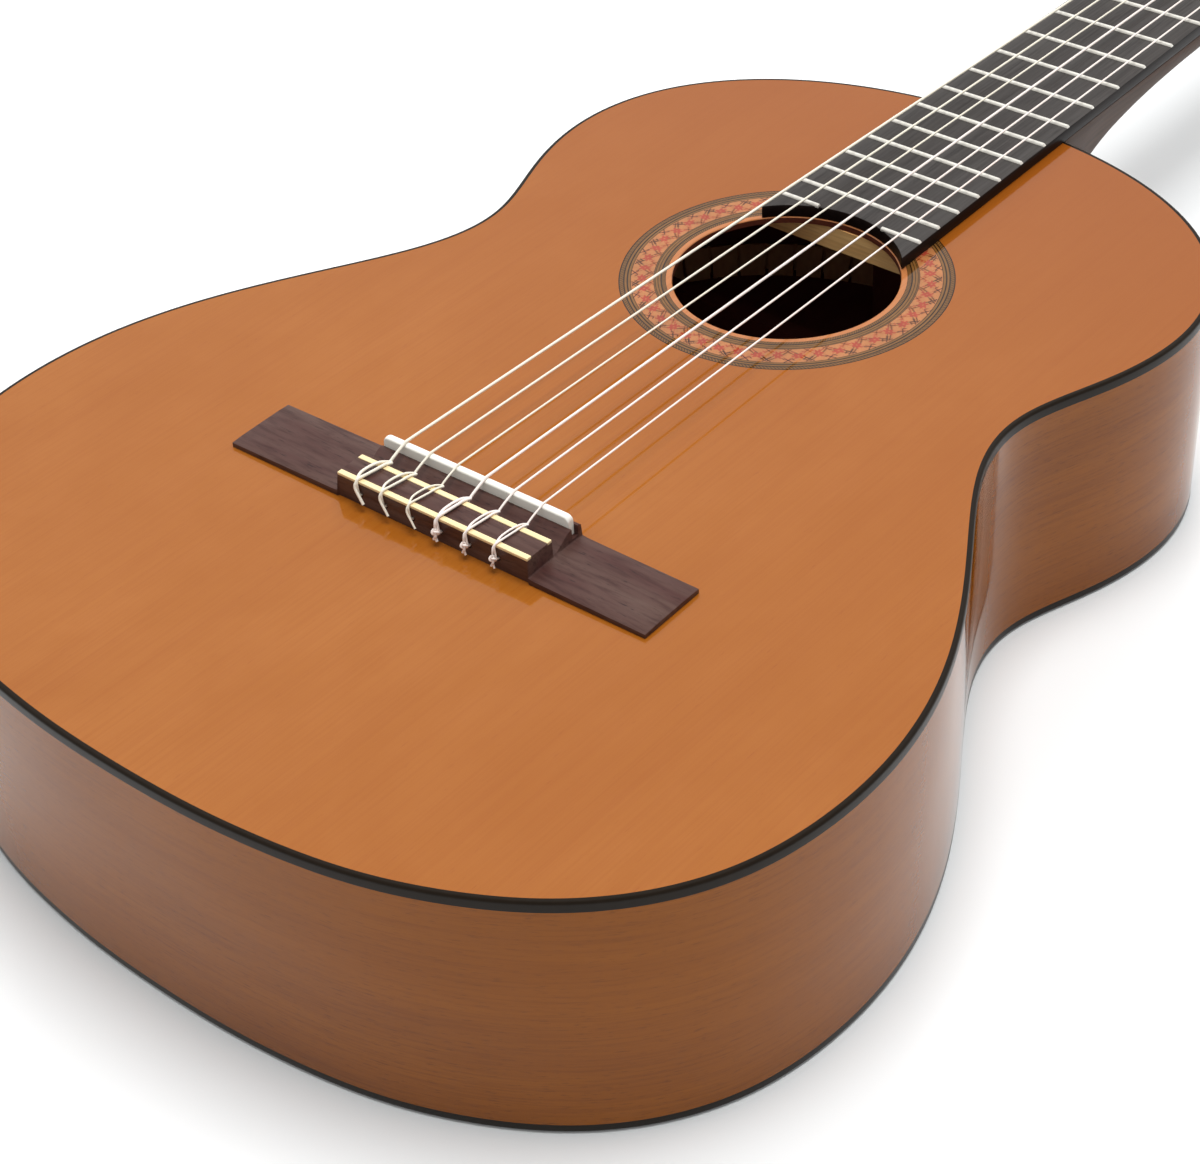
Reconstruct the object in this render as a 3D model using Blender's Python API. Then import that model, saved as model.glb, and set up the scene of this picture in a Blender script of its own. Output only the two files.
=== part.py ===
"""Classical guitar, modelled as the separate pieces it is glued, pressed and
screwed together from.

The design is laid out in the instrument's own frame: x across (treble side +),
y from the tail (0) towards the head, z up with 0 at the top face of the
soundboard.  An empty then tips that frame so that the flat back lies on z = 0
with the world origin under the middle of the body.  All sizes are in mm.
"""
import bpy
import bmesh
import math
import numpy as np
from mathutils import Vector, Matrix

for _o in list(bpy.data.objects):
    bpy.data.objects.remove(_o, do_unlink=True)

MM = 0.001

# ---------------------------------------------------------------- dimensions
SCALE = 650.0            # vibrating string length
BODY_LEN = 490.0         # tail to the twelfth fret
DEPTH_TAIL = 99.0        # outside depth of the body at the tail
DEPTH_NECK = 95.0        # and at the neck joint
NUT_Y = BODY_LEN + SCALE / 2
SEGMENTS = 72            # points round the body outline

# half outline of the body, (x, y)
OUTLINE = [(0, 0), (30, 0.8), (60, 4), (90, 10.2), (118, 21), (143, 36),
           (163, 55.5), (177, 79), (184.5, 107), (186, 137), (182, 166),
           (173, 194), (160, 221), (145, 247), (131, 272), (123, 294),
           (122, 312), (127, 331), (134.5, 351), (140, 372), (141.5, 393),
           (138, 414), (129.5, 433), (115, 451), (95, 466.5), (70, 478.5),
           (40, 486.5), (0, 490)]

BIND_W, BIND_TOP_H, BIND_BACK_H = 2.0, 5.5, 5.0
GAP = 0.3                # glue-line clearance kept between neighbours
PLATE_T = 2.6            # soundboard and back thickness
SIDE_T = 2.2
HOLE_Y, HOLE_R = 340.6, 43.07
ROSETTE_IN, ROSETTE_OUT, ROSETTE_T = 45.4, 63.3, 1.1
LINING_IN, LINING_OUT, LINING_H = 2.5, 8.4, 13.1

FB_NUT_W, FB_BODY_W, FB_T = 52.0, 62.0, 5.0     # fingerboard
FB_Z = 0.2
FB_END_R = 43.4          # its hollowed end, about the sound hole's centre
FRET_W, FRET_H = 2.6, 1.0
N_FRETS = 19
NUT_T, NUT_TOP = 5.5, 6.2

BRIDGE_X, BRIDGE_Y0, BRIDGE_Y1 = 91.0, 140.2, 168.6
SADDLE_Y = 165.0
SADDLE_TOP = 11.7
TIE_X0, TIE_X1 = -40.6, 43.0                     # ends of the tie block
TIE_Z = 4.4              # height of the string holes
STRING_R = [0.36, 0.41, 0.51, 0.37, 0.44, 0.54]         # strings 1 (treble) .. 6
SADDLE_X = [30.2, 17.9, 5.4, -7.1, -19.2, -30.4]
NUT_SPACING = 8.4
STRING_Z_NUT = 7.0

HEAD_TILT = math.radians(15.0)
HEAD_Y = NUT_Y + NUT_T
HEAD_T, HEAD_HALF = 20.0, 36.0
SLOT_X, SLOT_HALF = 16.0, 8.0
SLOT_S0, SLOT_S1 = 28.0, 143.0
ROLLER_S = [52.0, 87.0, 122.0]
ROLLER_Z, ROLLER_R = -9.0, 4.5
SHAFT_R, BORE_R = 3.0, 3.45
PLATE_X0, PLATE_X1 = 36.3, 37.5
GEAR_TEETH, MODULE = 14, 0.8
GEAR_X, GEAR_HALF_T = 42.7, 1.2
WORM_R = 3.0             # pitch radius of the worm
PITCH = math.pi * MODULE
GEAR_R = GEAR_TEETH * MODULE / 2
WORM_DS = GEAR_R + WORM_R


def depth(y):
    return DEPTH_TAIL + (DEPTH_NECK - DEPTH_TAIL) * y / BODY_LEN


def fb_half(y):
    return (FB_NUT_W + (NUT_Y - y) * (FB_BODY_W - FB_NUT_W) / (SCALE / 2)) / 2


def fret_y(n):
    return NUT_Y - SCALE * (1 - 2 ** (-n / 12))


# ---------------------------------------------------------------- frames
PHI = math.atan2(DEPTH_TAIL - DEPTH_NECK, BODY_LEN)
TIP = Matrix.Rotation(-PHI, 4, 'X')


def empty(name, parent=None, loc=(0, 0, 0), rot=(0, 0, 0)):
    e = bpy.data.objects.new(name, None)
    bpy.context.scene.collection.objects.link(e)
    e.parent = parent
    e.location = [c * MM for c in loc]
    e.rotation_euler = rot
    return e


_shift = TIP @ Vector((0, -BODY_LEN / 2, (DEPTH_TAIL + DEPTH_NECK) / 2))
BODY = empty('guitar_frame', None, _shift, (-PHI, 0, 0))
HEAD = empty('headstock_frame', BODY, (0, HEAD_Y, 0), (-HEAD_TILT, 0, 0))


def head_to_body(x, s, z):
    c, n = math.cos(HEAD_TILT), math.sin(HEAD_TILT)
    return (x, HEAD_Y + s * c + z * n, -s * n + z * c)


# ---------------------------------------------------------------- materials
def material(name, colour, rough, metal=0.0):
    m = bpy.data.materials.new(name)
    m.use_nodes = True
    p = m.node_tree.nodes['Principled BSDF']
    p.inputs['Base Color'].default_value = (*colour, 1)
    p.inputs['Roughness'].default_value = rough
    p.inputs['Metallic'].default_value = metal
    m.diffuse_color = (*colour, 1)
    return m


M_TOP = material('amber_spruce', (0.50, 0.20, 0.075), 0.12)
M_SIDE = material('mahogany', (0.22, 0.08, 0.03), 0.15)
M_NECK = material('neck_mahogany', (0.17, 0.085, 0.045), 0.3)
M_BLACK = material('black_binding', (0.012, 0.012, 0.012), 0.2)
M_ROSE = material('rosewood', (0.075, 0.048, 0.042), 0.45)
M_INNER = material('raw_spruce', (0.62, 0.45, 0.26), 0.7)
M_ROSETTE = material('rosette_mosaic', (0.33, 0.22, 0.13), 0.3)
M_BONE = material('bone', (0.82, 0.79, 0.70), 0.35)
M_CREAM = material('cream_inlay', (0.74, 0.63, 0.36), 0.35)
M_FRET = material('nickel_silver', (0.72, 0.69, 0.62), 0.22, 1.0)
M_NYLON = material('clear_nylon', (0.80, 0.79, 0.76), 0.2)
M_WOUND = material('silvered_winding', (0.70, 0.69, 0.68), 0.3, 1.0)
M_PLATE = material('plated_brass', (0.70, 0.55, 0.28), 0.25, 1.0)
M_BARREL = material('barrel', (0.83, 0.81, 0.74), 0.4)
M_KNOB = material('knob', (0.84, 0.82, 0.76), 0.25)


# ---------------------------------------------------------------- mesh helpers
def build(name, verts, faces, mat, parent=None, loc=(0, 0, 0), cutter=False, sharp=35):
    bm = bmesh.new()
    vs = [bm.verts.new((v[0] * MM, v[1] * MM, v[2] * MM)) for v in verts]
    for f in faces:
        bm.faces.new([vs[i] for i in f])
    bmesh.ops.recalc_face_normals(bm, faces=bm.faces)
    me = bpy.data.meshes.new(name)
    bm.to_mesh(me)
    bm.free()
    if mat:
        me.materials.append(mat)
    me.shade_smooth()
    me.set_sharp_from_angle(angle=math.radians(sharp))
    ob = bpy.data.objects.new(name, me)
    bpy.context.scene.collection.objects.link(ob)
    ob.parent = parent or BODY
    ob.location = [c * MM for c in loc]
    if cutter:
        ob.hide_render = True
        ob.display_type = 'WIRE'
    return ob


def loft(rings, closed=False, caps=True):
    """Skin a list of equal rings; ends are capped unless the loft is closed."""
    n, m = len(rings[0]), len(rings)
    verts = [p for r in rings for p in r]
    faces = []
    for i in range(m if closed else m - 1):
        j = (i + 1) % m
        for k in range(n):
            l = (k + 1) % n
            faces.append((i * n + k, i * n + l, j * n + l, j * n + k))
    if caps and not closed:
        faces.append(tuple(range(n)))
        faces.append(tuple((m - 1) * n + k for k in range(n)))
    return verts, faces


def box(x0, x1, y0, y1, z0, z1):
    r = [(x0, y0), (x1, y0), (x1, y1), (x0, y1)]
    return loft([[(x, y, z0) for x, y in r], [(x, y, z1) for x, y in r]])


def prism(poly, z0, z1):
    return loft([[(x, y, z0) for x, y in poly], [(x, y, z1) for x, y in poly]])


def circle(cx, cy, r, n, a0=0.0):
    return [(cx + r * math.cos(a0 + 2 * math.pi * i / n),
             cy + r * math.sin(a0 + 2 * math.pi * i / n)) for i in range(n)]


def rod(axis, centre, r, lo, hi, n=16):
    """A cylinder along x, y or z from lo to hi."""
    rings = []
    for t in (lo, hi):
        ring = []
        for i in range(n):
            a = 2 * math.pi * (i + 0.5) / n
            u, v = r * math.cos(a), r * math.sin(a)
            if axis == 'X':
                ring.append((t, centre[0] + u, centre[1] + v))
            elif axis == 'Y':
                ring.append((centre[0] + u, t, centre[1] + v))
            else:
                ring.append((centre[0] + u, centre[1] + v, t))
        rings.append(ring)
    return loft(rings)


def merged(parts):
    verts, faces = [], []
    for v, f in parts:
        o = len(verts)
        verts += list(v)
        faces += [tuple(i + o for i in q) for q in f]
    return verts, faces


def boolean(ob, cutter, op='DIFFERENCE'):
    m = ob.modifiers.new(op.lower(), 'BOOLEAN')
    m.operation = op
    m.solver = 'EXACT'
    m.object = cutter
    return ob


def solid_of_bars(name, bars, mat, lower=None):
    """Bars that cross and are let into each other, united into one piece."""
    def drop(vf):
        if not lower:
            return vf
        return [lower(v) for v in vf[0]], vf[1]
    ob = build(name, *drop(bars[0]), mat)
    for i, b in enumerate(bars[1:]):
        c = build(f'{name}_bar_{i + 1}', *drop(b), None, cutter=True)
        boolean(ob, c, 'UNION')
    return ob


# ---------------------------------------------------------------- body outline
def spline_outline(points, n):
    """Closed periodic cubic spline through the mirrored half outline,
    resampled at n even steps; starts at the tail, runs anticlockwise."""
    right = points
    left = [(-x, y) for x, y in reversed(points[1:-1])]
    p = np.array(right + left, float)
    m = len(p)
    d = np.linalg.norm(np.roll(p, -1, 0) - p, axis=1)
    a = np.zeros((m, m))
    b = np.zeros((m, 2))
    for i in range(m):
        h0, h1 = d[i - 1], d[i]
        a[i, i - 1] += h0
        a[i, i] += 2 * (h0 + h1)
        a[i, (i + 1) % m] += h1
        b[i] = 6 * ((p[(i + 1) % m] - p[i]) / h1 - (p[i] - p[i - 1]) / h0)
    s = np.linalg.solve(a, b)
    fine = []
    for i in range(m):
        h, j = d[i], (i + 1) % m
        for t in np.linspace(0, 1, 24, endpoint=False):
            u, v = 1 - t, t
            fine.append(u * p[i] + v * p[j] + h * h / 6 * ((u ** 3 - u) * s[i] + (v ** 3 - v) * s[j]))
    fine = np.array(fine)
    # a light smoothing takes out the small wobble between the points
    for _ in range(60):
        fine = 0.25 * np.roll(fine, 1, 0) + 0.5 * fine + 0.25 * np.roll(fine, -1, 0)
    loop = np.vstack([fine, fine[:1]])
    arc = np.concatenate([[0], np.cumsum(np.linalg.norm(np.diff(loop, axis=0), axis=1))])
    at = np.linspace(0, arc[-1], n, endpoint=False)
    q = np.stack([np.interp(at, arc, loop[:, k]) for k in (0, 1)], 1)
    mirror = np.stack([-np.roll(q[::-1, 0], 1), np.roll(q[::-1, 1], 1)], 1)
    q = (q + mirror) / 2
    lo, hi = q[:, 1].min(), q[:, 1].max()
    q[:, 1] = (q[:, 1] - lo) * BODY_LEN / (hi - lo)
    return q


EDGE = spline_outline(OUTLINE, SEGMENTS)


def inset(d, pts=None):
    p = EDGE if pts is None else pts
    t = np.roll(p, -1, 0) - np.roll(p, 1, 0)
    t /= np.linalg.norm(t, axis=1)[:, None]
    return p + d * np.stack([-t[:, 1], t[:, 0]], 1)


def edge_y(x, d, head):
    """Height y of the outline inset by d at a given x, at the head or the tail."""
    p = inset(d)
    half = p[p[:, 1] > BODY_LEN / 2] if head else p[p[:, 1] < BODY_LEN / 2]
    half = half[np.abs(half[:, 0]) < 90]
    half = half[np.argsort(half[:, 0])]
    return float(np.interp(x, half[:, 0], half[:, 1]))


# ---------------------------------------------------------------- plates
def plate(name, d, z0, z1, mat):
    poly = [tuple(p) for p in inset(d)]
    rings = [[(x, y, z0(y)) for x, y in poly], [(x, y, z1(y)) for x, y in poly]]
    return build(name, *loft(rings), mat)


top = plate('soundboard', BIND_W + GAP, lambda y: -PLATE_T, lambda y: 0.0, M_TOP)
hole = build('cut_sound_hole', *prism(circle(0, HOLE_Y, HOLE_R, 48), -10, 5), None, cutter=True)
ring_cut = loft([[(x, y, z) for x, y, z in
                  [(r * math.cos(a), HOLE_Y + r * math.sin(a), z) for r, z in
                   ((ROSETTE_IN, -ROSETTE_T - GAP), (ROSETTE_IN, 5), (ROSETTE_OUT, 5), (ROSETTE_OUT, -ROSETTE_T - GAP))]]
                 for a in [2 * math.pi * i / 48 for i in range(48)]], closed=True)
channel = build('cut_rosette_channel', *ring_cut, None, cutter=True)
boolean(top, hole)
boolean(top, channel)

ri, ro = ROSETTE_IN + 0.25, ROSETTE_OUT - 0.25
build('rosette', *loft([[(r * math.cos(a), HOLE_Y + r * math.sin(a), z) for r, z in
                         ((ri, -ROSETTE_T), (ri, 0.0), (ro, 0.0), (ro, -ROSETTE_T))]
                        for a in [2 * math.pi * i / 48 for i in range(48)]], closed=True), M_ROSETTE)

plate('back', BIND_W + GAP, lambda y: -depth(y), lambda y: -depth(y) + PLATE_T, M_SIDE)


def edge_ring(name, profile, mat):
    """A strip running right round the body; profile is (inset, z function)."""
    lines = [inset(d) for d, _ in profile]
    rings = [[(lines[k][i][0], lines[k][i][1], profile[k][1](lines[k][i][1]))
              for k in range(len(profile))] for i in range(SEGMENTS)]
    return build(name, *loft(rings, closed=True), mat)


edge_ring('top_binding', [(0, lambda y: 0.0), (BIND_W, lambda y: 0.0),
                          (BIND_W, lambda y: -BIND_TOP_H), (0, lambda y: -BIND_TOP_H)], M_BLACK)
edge_ring('back_binding', [(0, lambda y: -depth(y)), (0, lambda y: -depth(y) + BIND_BACK_H),
                           (BIND_W, lambda y: -depth(y) + BIND_BACK_H), (BIND_W, lambda y: -depth(y))], M_BLACK)
edge_ring('top_lining', [(LINING_IN, lambda y: -PLATE_T - GAP), (LINING_OUT, lambda y: -PLATE_T - GAP),
                         (4.0, lambda y: -PLATE_T - GAP - LINING_H),
                         (LINING_IN, lambda y: -PLATE_T - GAP - LINING_H)], M_INNER)
edge_ring('back_lining', [(LINING_IN, lambda y: -depth(y) + PLATE_T + GAP),
                          (LINING_IN, lambda y: -depth(y) + PLATE_T + GAP + LINING_H),
                          (4.0, lambda y: -depth(y) + PLATE_T + GAP + LINING_H),
                          (LINING_OUT, lambda y: -depth(y) + PLATE_T + GAP)], M_INNER)


def side(name, sign):
    half = SEGMENTS // 2
    idx = [(sign * i) % SEGMENTS for i in range(half + 1)]
    o, n = EDGE, inset(SIDE_T)
    rings = []
    for i in idx:
        ring = []
        for p in (o[i], n[i]):
            x = p[0] if abs(p[0]) > 0.15 else sign * 0.15
            ring.append((x, p[1]))
        (xo, yo), (xi, yi) = ring
        zt = -BIND_TOP_H - GAP
        rings.append([(xo, yo, zt), (xi, yi, zt),
                      (xi, yi, -depth(yi) + BIND_BACK_H + GAP), (xo, yo, -depth(yo) + BIND_BACK_H + GAP)])
    return build(name, *loft(rings), M_SIDE)


side('side_treble', 1)
side('side_bass', -1)


# ---------------------------------------------------------------- blocks
def block(name, half_w, y_in, head):
    xs = np.linspace(-half_w, half_w, 9)
    under_top, under_back = LINING_OUT + 0.4, SIDE_T + 0.4
    low = PLATE_T + GAP + LINING_H + 0.4

    def ring(d, zf):
        outer = [(x, edge_y(x, d, head)) for x in xs]
        inner = [(half_w, y_in), (-half_w, y_in)]
        return [(x, y, zf(y)) for x, y in outer + inner]
    rings = [ring(under_top, lambda y: -PLATE_T - GAP), ring(under_top, lambda y: -low),
             ring(under_back, lambda y: -low), ring(under_back, lambda y: -depth(y) + low),
             ring(under_top, lambda y: -depth(y) + low), ring(under_top, lambda y: -depth(y) + PLATE_T + GAP)]
    return build(name, *loft(rings), M_INNER)


block('head_block', 35.0, 450.0, True)
block('tail_block', 30.0, 22.0, False)


# ---------------------------------------------------------------- bracing
def bar(p, q, w, z0, z1, grow=0.0):
    p, q = Vector(p), Vector(q)
    t = (q - p).normalized()
    n = Vector((-t.y, t.x)) * (w / 2)
    c = [p - n, q - n, q + n, p + n]
    return prism([(v.x, v.y) for v in c], z0, z1)


zt = -PLATE_T - GAP
fan = [bar((x0, 284), (x1, 66), 6.0, zt - 5.6, zt - 0.02 * (k + 1))
       for k, (x0, x1) in enumerate([(-40, -98), (-20, -49), (0, 0), (20, 49), (40, 98)])]
solid_of_bars('soundboard_bracing',
              [box(-116, 116, 282.5, 289.5, zt - 16, zt),
               box(-131, 131, 383.2, 391.0, zt - 9.9, zt),
               box(-61, -47, 287, 386, zt - 2.3, zt - 0.14),
               box(47, 61, 287, 386, zt - 2.3, zt - 0.14)] + fan +
              [bar((-122, 112), (-14, 52), 6.0, zt - 5.0, zt - 0.16),
               bar((122, 112), (14, 52), 6.0, zt - 5.0, zt - 0.16),
               bar((-20, 54), (20, 54), 6.0, zt - 4.6, zt - 0.18)], M_INNER)

solid_of_bars('back_bracing',
              [box(-9, 9, 30, 446, 0, 2.2)] +
              [box(-h, h, y - 4, y + 4, 0.04, 15.5) for h, y in ((128, 408), (124, 262), (171, 122))],
              M_INNER, lower=lambda v: (v[0], v[1], v[2] - depth(v[1]) + PLATE_T + GAP))


# ---------------------------------------------------------------- neck
COLS, ROWS = 6, 5


def neck_ring(half_w, deep, heel=0.0, square=0.0, heel_half=12.0):
    """Half-width, depth and how much of the section is heel or headstock.
    Order: top edge left to right, right side down, underside, left side up."""
    side_pts, under = [], []
    a_b = math.radians(68)
    for j in range(ROWS + 1):
        t = j / ROWS
        a = a_b * t
        d_x, d_z = half_w * math.cos(a) ** 0.85, -deep * math.sin(a)
        s_x, s_z = half_w, -deep * t
        h_x = heel_half + (half_w - heel_half) * (1 - t) ** 1.7
        h_z = -deep * t
        k = 1 - heel - square
        side_pts.append((k * d_x + square * s_x + heel * h_x, k * d_z + square * s_z + heel * h_z))
    for j in range(COLS + 1):
        t = j / COLS
        a = a_b + (math.pi - 2 * a_b) * t
        d_x = half_w * math.copysign(abs(math.cos(a)) ** 0.85, math.cos(a))
        d_z = -deep * math.sin(a)
        k = 1 - heel - square
        under.append((k * d_x + square * half_w * (1 - 2 * t) + heel * heel_half * (1 - 2 * t),
                      k * d_z - (square + heel) * deep))
    topp = [(-half_w + 2 * half_w * j / COLS, 0.0) for j in range(COLS + 1)]
    right = side_pts[1:-1]
    left = [(-x, z) for x, z in reversed(side_pts[1:-1])]
    return topp + right + under + left


def section(ring, y, z=0.0, tilt=0.0):
    return [(x, y + h * math.sin(tilt), z + h * math.cos(tilt)) for x, h in ring]


rings = []
first = neck_ring(fb_half(BODY_LEN), DEPTH_NECK - 0.4, heel=1.0)
rings.append([(x, edge_y(x, 0, True) + 0.35, z) for x, z in first])
HEEL = [(496, 94.6, 1.0, 12.0), (504, 94.4, 1.0, 11.5), (511, 92.5, 0.98, 10.5), (515.5, 87, 0.94, 9.5),
        (519, 78, 0.86, 9.0), (523, 66, 0.76, 9.0), (528, 54, 0.64, 9.5), (535, 43, 0.48, 10.0),
        (545, 33.5, 0.3, 11.0), (558, 26.5, 0.14, 12.0), (575, 21.8, 0.04, 12.0), (600, 19.4, 0, 12.0)]
for y, d, h, hh in HEEL:
    rings.append(section(neck_ring(fb_half(y), d, heel=h, heel_half=hh), y))
for y, d in ((700, 18.2), (806, 16.6)):
    rings.append(section(neck_ring(fb_half(y), d), y))
rings.append(section(neck_ring(26.0, 17.2, square=0.35), HEAD_Y, 0.0, HEAD_TILT / 2))
for s, w, d, q in ((9, 27.6, 18.6, 0.8), (18, 32.0, HEAD_T, 1.0), (24, 34.6, HEAD_T, 1.0), (31, HEAD_HALF, HEAD_T, 1.0),
                   (158, HEAD_HALF, HEAD_T, 1.0), (166, 34.8, HEAD_T, 1.0)):
    _, yy, zz = head_to_body(0, s, 0)
    rings.append(section(neck_ring(w, d, square=q), yy, zz, HEAD_TILT))


def crest_point(x, h):
    u = x / 31.0
    return head_to_body(x, 170 + 8.0 * (1 - u * u) + 1.8 * math.cos(3 * math.pi * u), h)


rings.append([crest_point(x, h) for x, h in neck_ring(31.0, HEAD_T, square=1.0)])
neck_verts, neck_faces = loft(rings, caps=False)


def grid_cap(base, sec, point):
    """Close a ring with rows of faces that follow a curved end."""
    def left(r):
        return 0 if r == 0 else len(sec) - r
    def right(r):
        return COLS + r
    def vid(c, r):
        if r == 0:
            return base + c
        if r == ROWS:
            return base + 2 * COLS + ROWS - c
        if c == 0:
            return base + left(r)
        if c == COLS:
            return base + right(r)
        return inner[(c, r)]
    inner = {}
    for r in range(1, ROWS):
        (xl, z), (xr, _) = sec[left(r)], sec[right(r)]
        for c in range(1, COLS):
            inner[(c, r)] = len(neck_verts)
            neck_verts.append(point(xl + (xr - xl) * c / COLS, z))
    for r in range(ROWS):
        for c in range(COLS):
            neck_faces.append((vid(c, r), vid(c + 1, r), vid(c + 1, r + 1), vid(c, r + 1)))


grid_cap(0, first, lambda x, z: (x, edge_y(x, 0, True) + 0.35, z))
grid_cap(len(first) * (len(rings) - 1), neck_ring(31.0, HEAD_T, square=1.0), crest_point)
neck = build('neck', neck_verts, neck_faces, M_NECK)

for sign, tag in ((-1, 'bass'), (1, 'treble')):
    cx = sign * SLOT_X
    poly = ([(cx + SLOT_HALF * math.cos(a), SLOT_S1 - SLOT_HALF + SLOT_HALF * math.sin(a))
             for a in [math.pi * i / 6 for i in range(7)]] +
            [(cx + SLOT_HALF * math.cos(a), SLOT_S0 + SLOT_HALF + SLOT_HALF * math.sin(a))
             for a in [math.pi + math.pi * i / 6 for i in range(7)]])
    boolean(neck, build(f'cut_slot_{tag}', *prism(poly, -30, 12), None, parent=HEAD, cutter=True))
    lo, hi = sorted((sign * 3.5, sign * 45.0))
    boolean(neck, build(f'cut_bores_{tag}', *merged([rod('X', (s, ROLLER_Z), BORE_R, lo, hi) for s in ROLLER_S]),
                        None, parent=HEAD, cutter=True))

# ---------------------------------------------------------------- fingerboard, frets, nut
arc0 = math.acos(min(1.0, fb_half(370) / FB_END_R))
fb_poly = [(fb_half(NUT_Y), NUT_Y - GAP)]
arc_pts = [(FB_END_R * math.cos(a), HOLE_Y + FB_END_R * math.sin(a))
           for a in np.linspace(math.pi - arc0, arc0, 17)]
fb_poly = [(-fb_half(NUT_Y - GAP), NUT_Y - GAP)] + arc_pts + [(fb_half(NUT_Y - GAP), NUT_Y - GAP)]
board = build('fingerboard', *prism(fb_poly, FB_Z, FB_Z + FB_T), M_ROSE)
FB_TOP = FB_Z + FB_T
slots = [box(-40, 40, fret_y(n) - 0.45, fret_y(n) + 0.45, FB_TOP - 1.9, FB_TOP + 3) for n in range(1, N_FRETS + 1)]
boolean(board, build('cut_fret_slots', *merged(slots), None, cutter=True))


def fret(name, y, x0, x1, bevel0=True, bevel1=True):
    w = FRET_W / 2
    base = FB_TOP + 0.15
    prof = [(-0.24, base - 1.7), (0.24, base - 1.7), (0.24, base), (w, base), (w * 0.86, base + 0.5),
            (w * 0.45, base + 0.86), (0, base + FRET_H - 0.05), (-w * 0.45, base + 0.86),
            (-w * 0.86, base + 0.5), (-w, base), (-0.24, base)]

    def ring(x, sgn, bevel):
        return [(x - sgn * (0.7 * max(0, z - base) if bevel else 0), y + dy, z) for dy, z in prof]
    return build(name, *loft([ring(x0, -1, bevel0), ring(x1, 1, bevel1)]), M_FRET)


for n in range(1, N_FRETS):
    h = fb_half(fret_y(n)) - 0.3
    fret(f'fret_{n:02d}', fret_y(n), -h, h)
h19 = fb_half(fret_y(19)) - 0.3
fret('fret_19_bass', fret_y(19), -h19, -14.6)
fret('fret_19_treble', fret_y(19), 14.6, h19)

nut_sec = [(NUT_Y, FB_Z), (NUT_Y + NUT_T - 0.4, FB_Z), (NUT_Y + NUT_T - 0.4, NUT_TOP - 0.7),
           (NUT_Y + NUT_T - 1.2, NUT_TOP - 0.1), (NUT_Y + 1.2, NUT_TOP), (NUT_Y, NUT_TOP - 0.3)]
build('nut', *loft([[(x, y, z) for y, z in nut_sec] for x in (-25.8, 25.8)]), M_BONE)

# ---------------------------------------------------------------- bridge
BR_Z = 0.2
CENTRE = [(141.0, BR_Z), (141.0, 8.4), (143.4, 8.4), (143.4, 9.8), (151.1, 9.8), (151.1, 8.4), (153.5, 8.4),
          (153.5, 3.2), (155.2, 3.3), (161.2, 7.2), (162.6, 7.6), (167.4, 7.6), (168.4, 6.6), (168.6, BR_Z)]


def wing(t):
    n = len(CENTRE)
    out = []
    for i in range(n):
        u = -1 + 2 * i / (n - 1)
        y = (BRIDGE_Y0 + BRIDGE_Y1) / 2 + u * (BRIDGE_Y1 - BRIDGE_Y0) / 2
        z = BR_Z + (t - BR_Z) * (1 - 0.35 * u ** 4)
        if i in (0, n - 1):
            z = BR_Z
        out.append((y, z))
    return out


stations = [(-BRIDGE_X, wing(2.1)), (-80, wing(2.3)), (-62, wing(2.5)), (-50, wing(2.7)), (TIE_X0 - 1.8, wing(3.0)),
            (TIE_X0, CENTRE), (TIE_X1, CENTRE), (TIE_X1 + 1.8, wing(3.0)), (52, wing(2.7)), (62, wing(2.5)),
            (80, wing(2.3)), (BRIDGE_X, wing(2.1))]
bridge = build('bridge', *loft([[(x, y, z) for y, z in sec] for x, sec in stations]), M_ROSE)
boolean(bridge, build('cut_saddle_slot', *box(-50, 52, SADDLE_Y - 1.6, SADDLE_Y + 1.6, 3.3, 20), None, cutter=True))


def string_x_saddle(k):          # k = 1 (treble) .. 6 (bass)
    return SADDLE_X[k - 1]


def string_x_nut(k):
    return (3.5 - k) * NUT_SPACING


boolean(bridge, build('cut_string_holes', *merged([rod('Y', (string_x_saddle(k), TIE_Z), 1.15, 136, 154.4, 10)
                                                  for k in range(1, 7)]), None, cutter=True))
sad = [(SADDLE_Y - 1.3, 3.6), (SADDLE_Y + 1.3, 3.6), (SADDLE_Y + 1.3, SADDLE_TOP - 0.9), (SADDLE_Y + 0.5, SADDLE_TOP),
       (SADDLE_Y - 0.5, SADDLE_TOP), (SADDLE_Y - 1.3, SADDLE_TOP - 0.9)]
build('saddle', *loft([[(x, y, z) for y, z in sad] for x in (TIE_X0 + 0.6, TIE_X1 - 1.2)]), M_BONE)
for nm, y0 in (('tie_inlay_rear', 141.0), ('tie_inlay_front', 151.4)):
    y1 = y0 + 2.1
    sec = [(y0, 8.6), (y1, 8.6), (y1, 9.8), (y0 + 0.5, 9.8), (y0, 9.3)]
    if nm == 'tie_inlay_front':
        sec = [(y0, 8.6), (y1, 8.6), (y1, 9.3), (y1 - 0.5, 9.8), (y0, 9.8)]
    build(nm, *loft([[(x, y, z) for y, z in sec] for x in (TIE_X0 + 0.2, TIE_X1 - 0.2)]), M_CREAM)


# ---------------------------------------------------------------- strings
def tube(name, pts, r, mat, n=6):
    pts = [Vector(p) for p in pts]
    rings = []
    up = Vector((1, 0, 0))
    for i, p in enumerate(pts):
        a = pts[max(i - 1, 0)]
        b = pts[min(i + 1, len(pts) - 1)]
        t = (b - a).normalized()
        u = (up - t * up.dot(t)).normalized()
        v = t.cross(u)
        rings.append([tuple(p + r * (math.cos(q) * u + math.sin(q) * v))
                      for q in [2 * math.pi * (k + 0.5) / n for k in range(n)]])
    return build(name, *loft(rings), mat, sharp=60)


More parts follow.
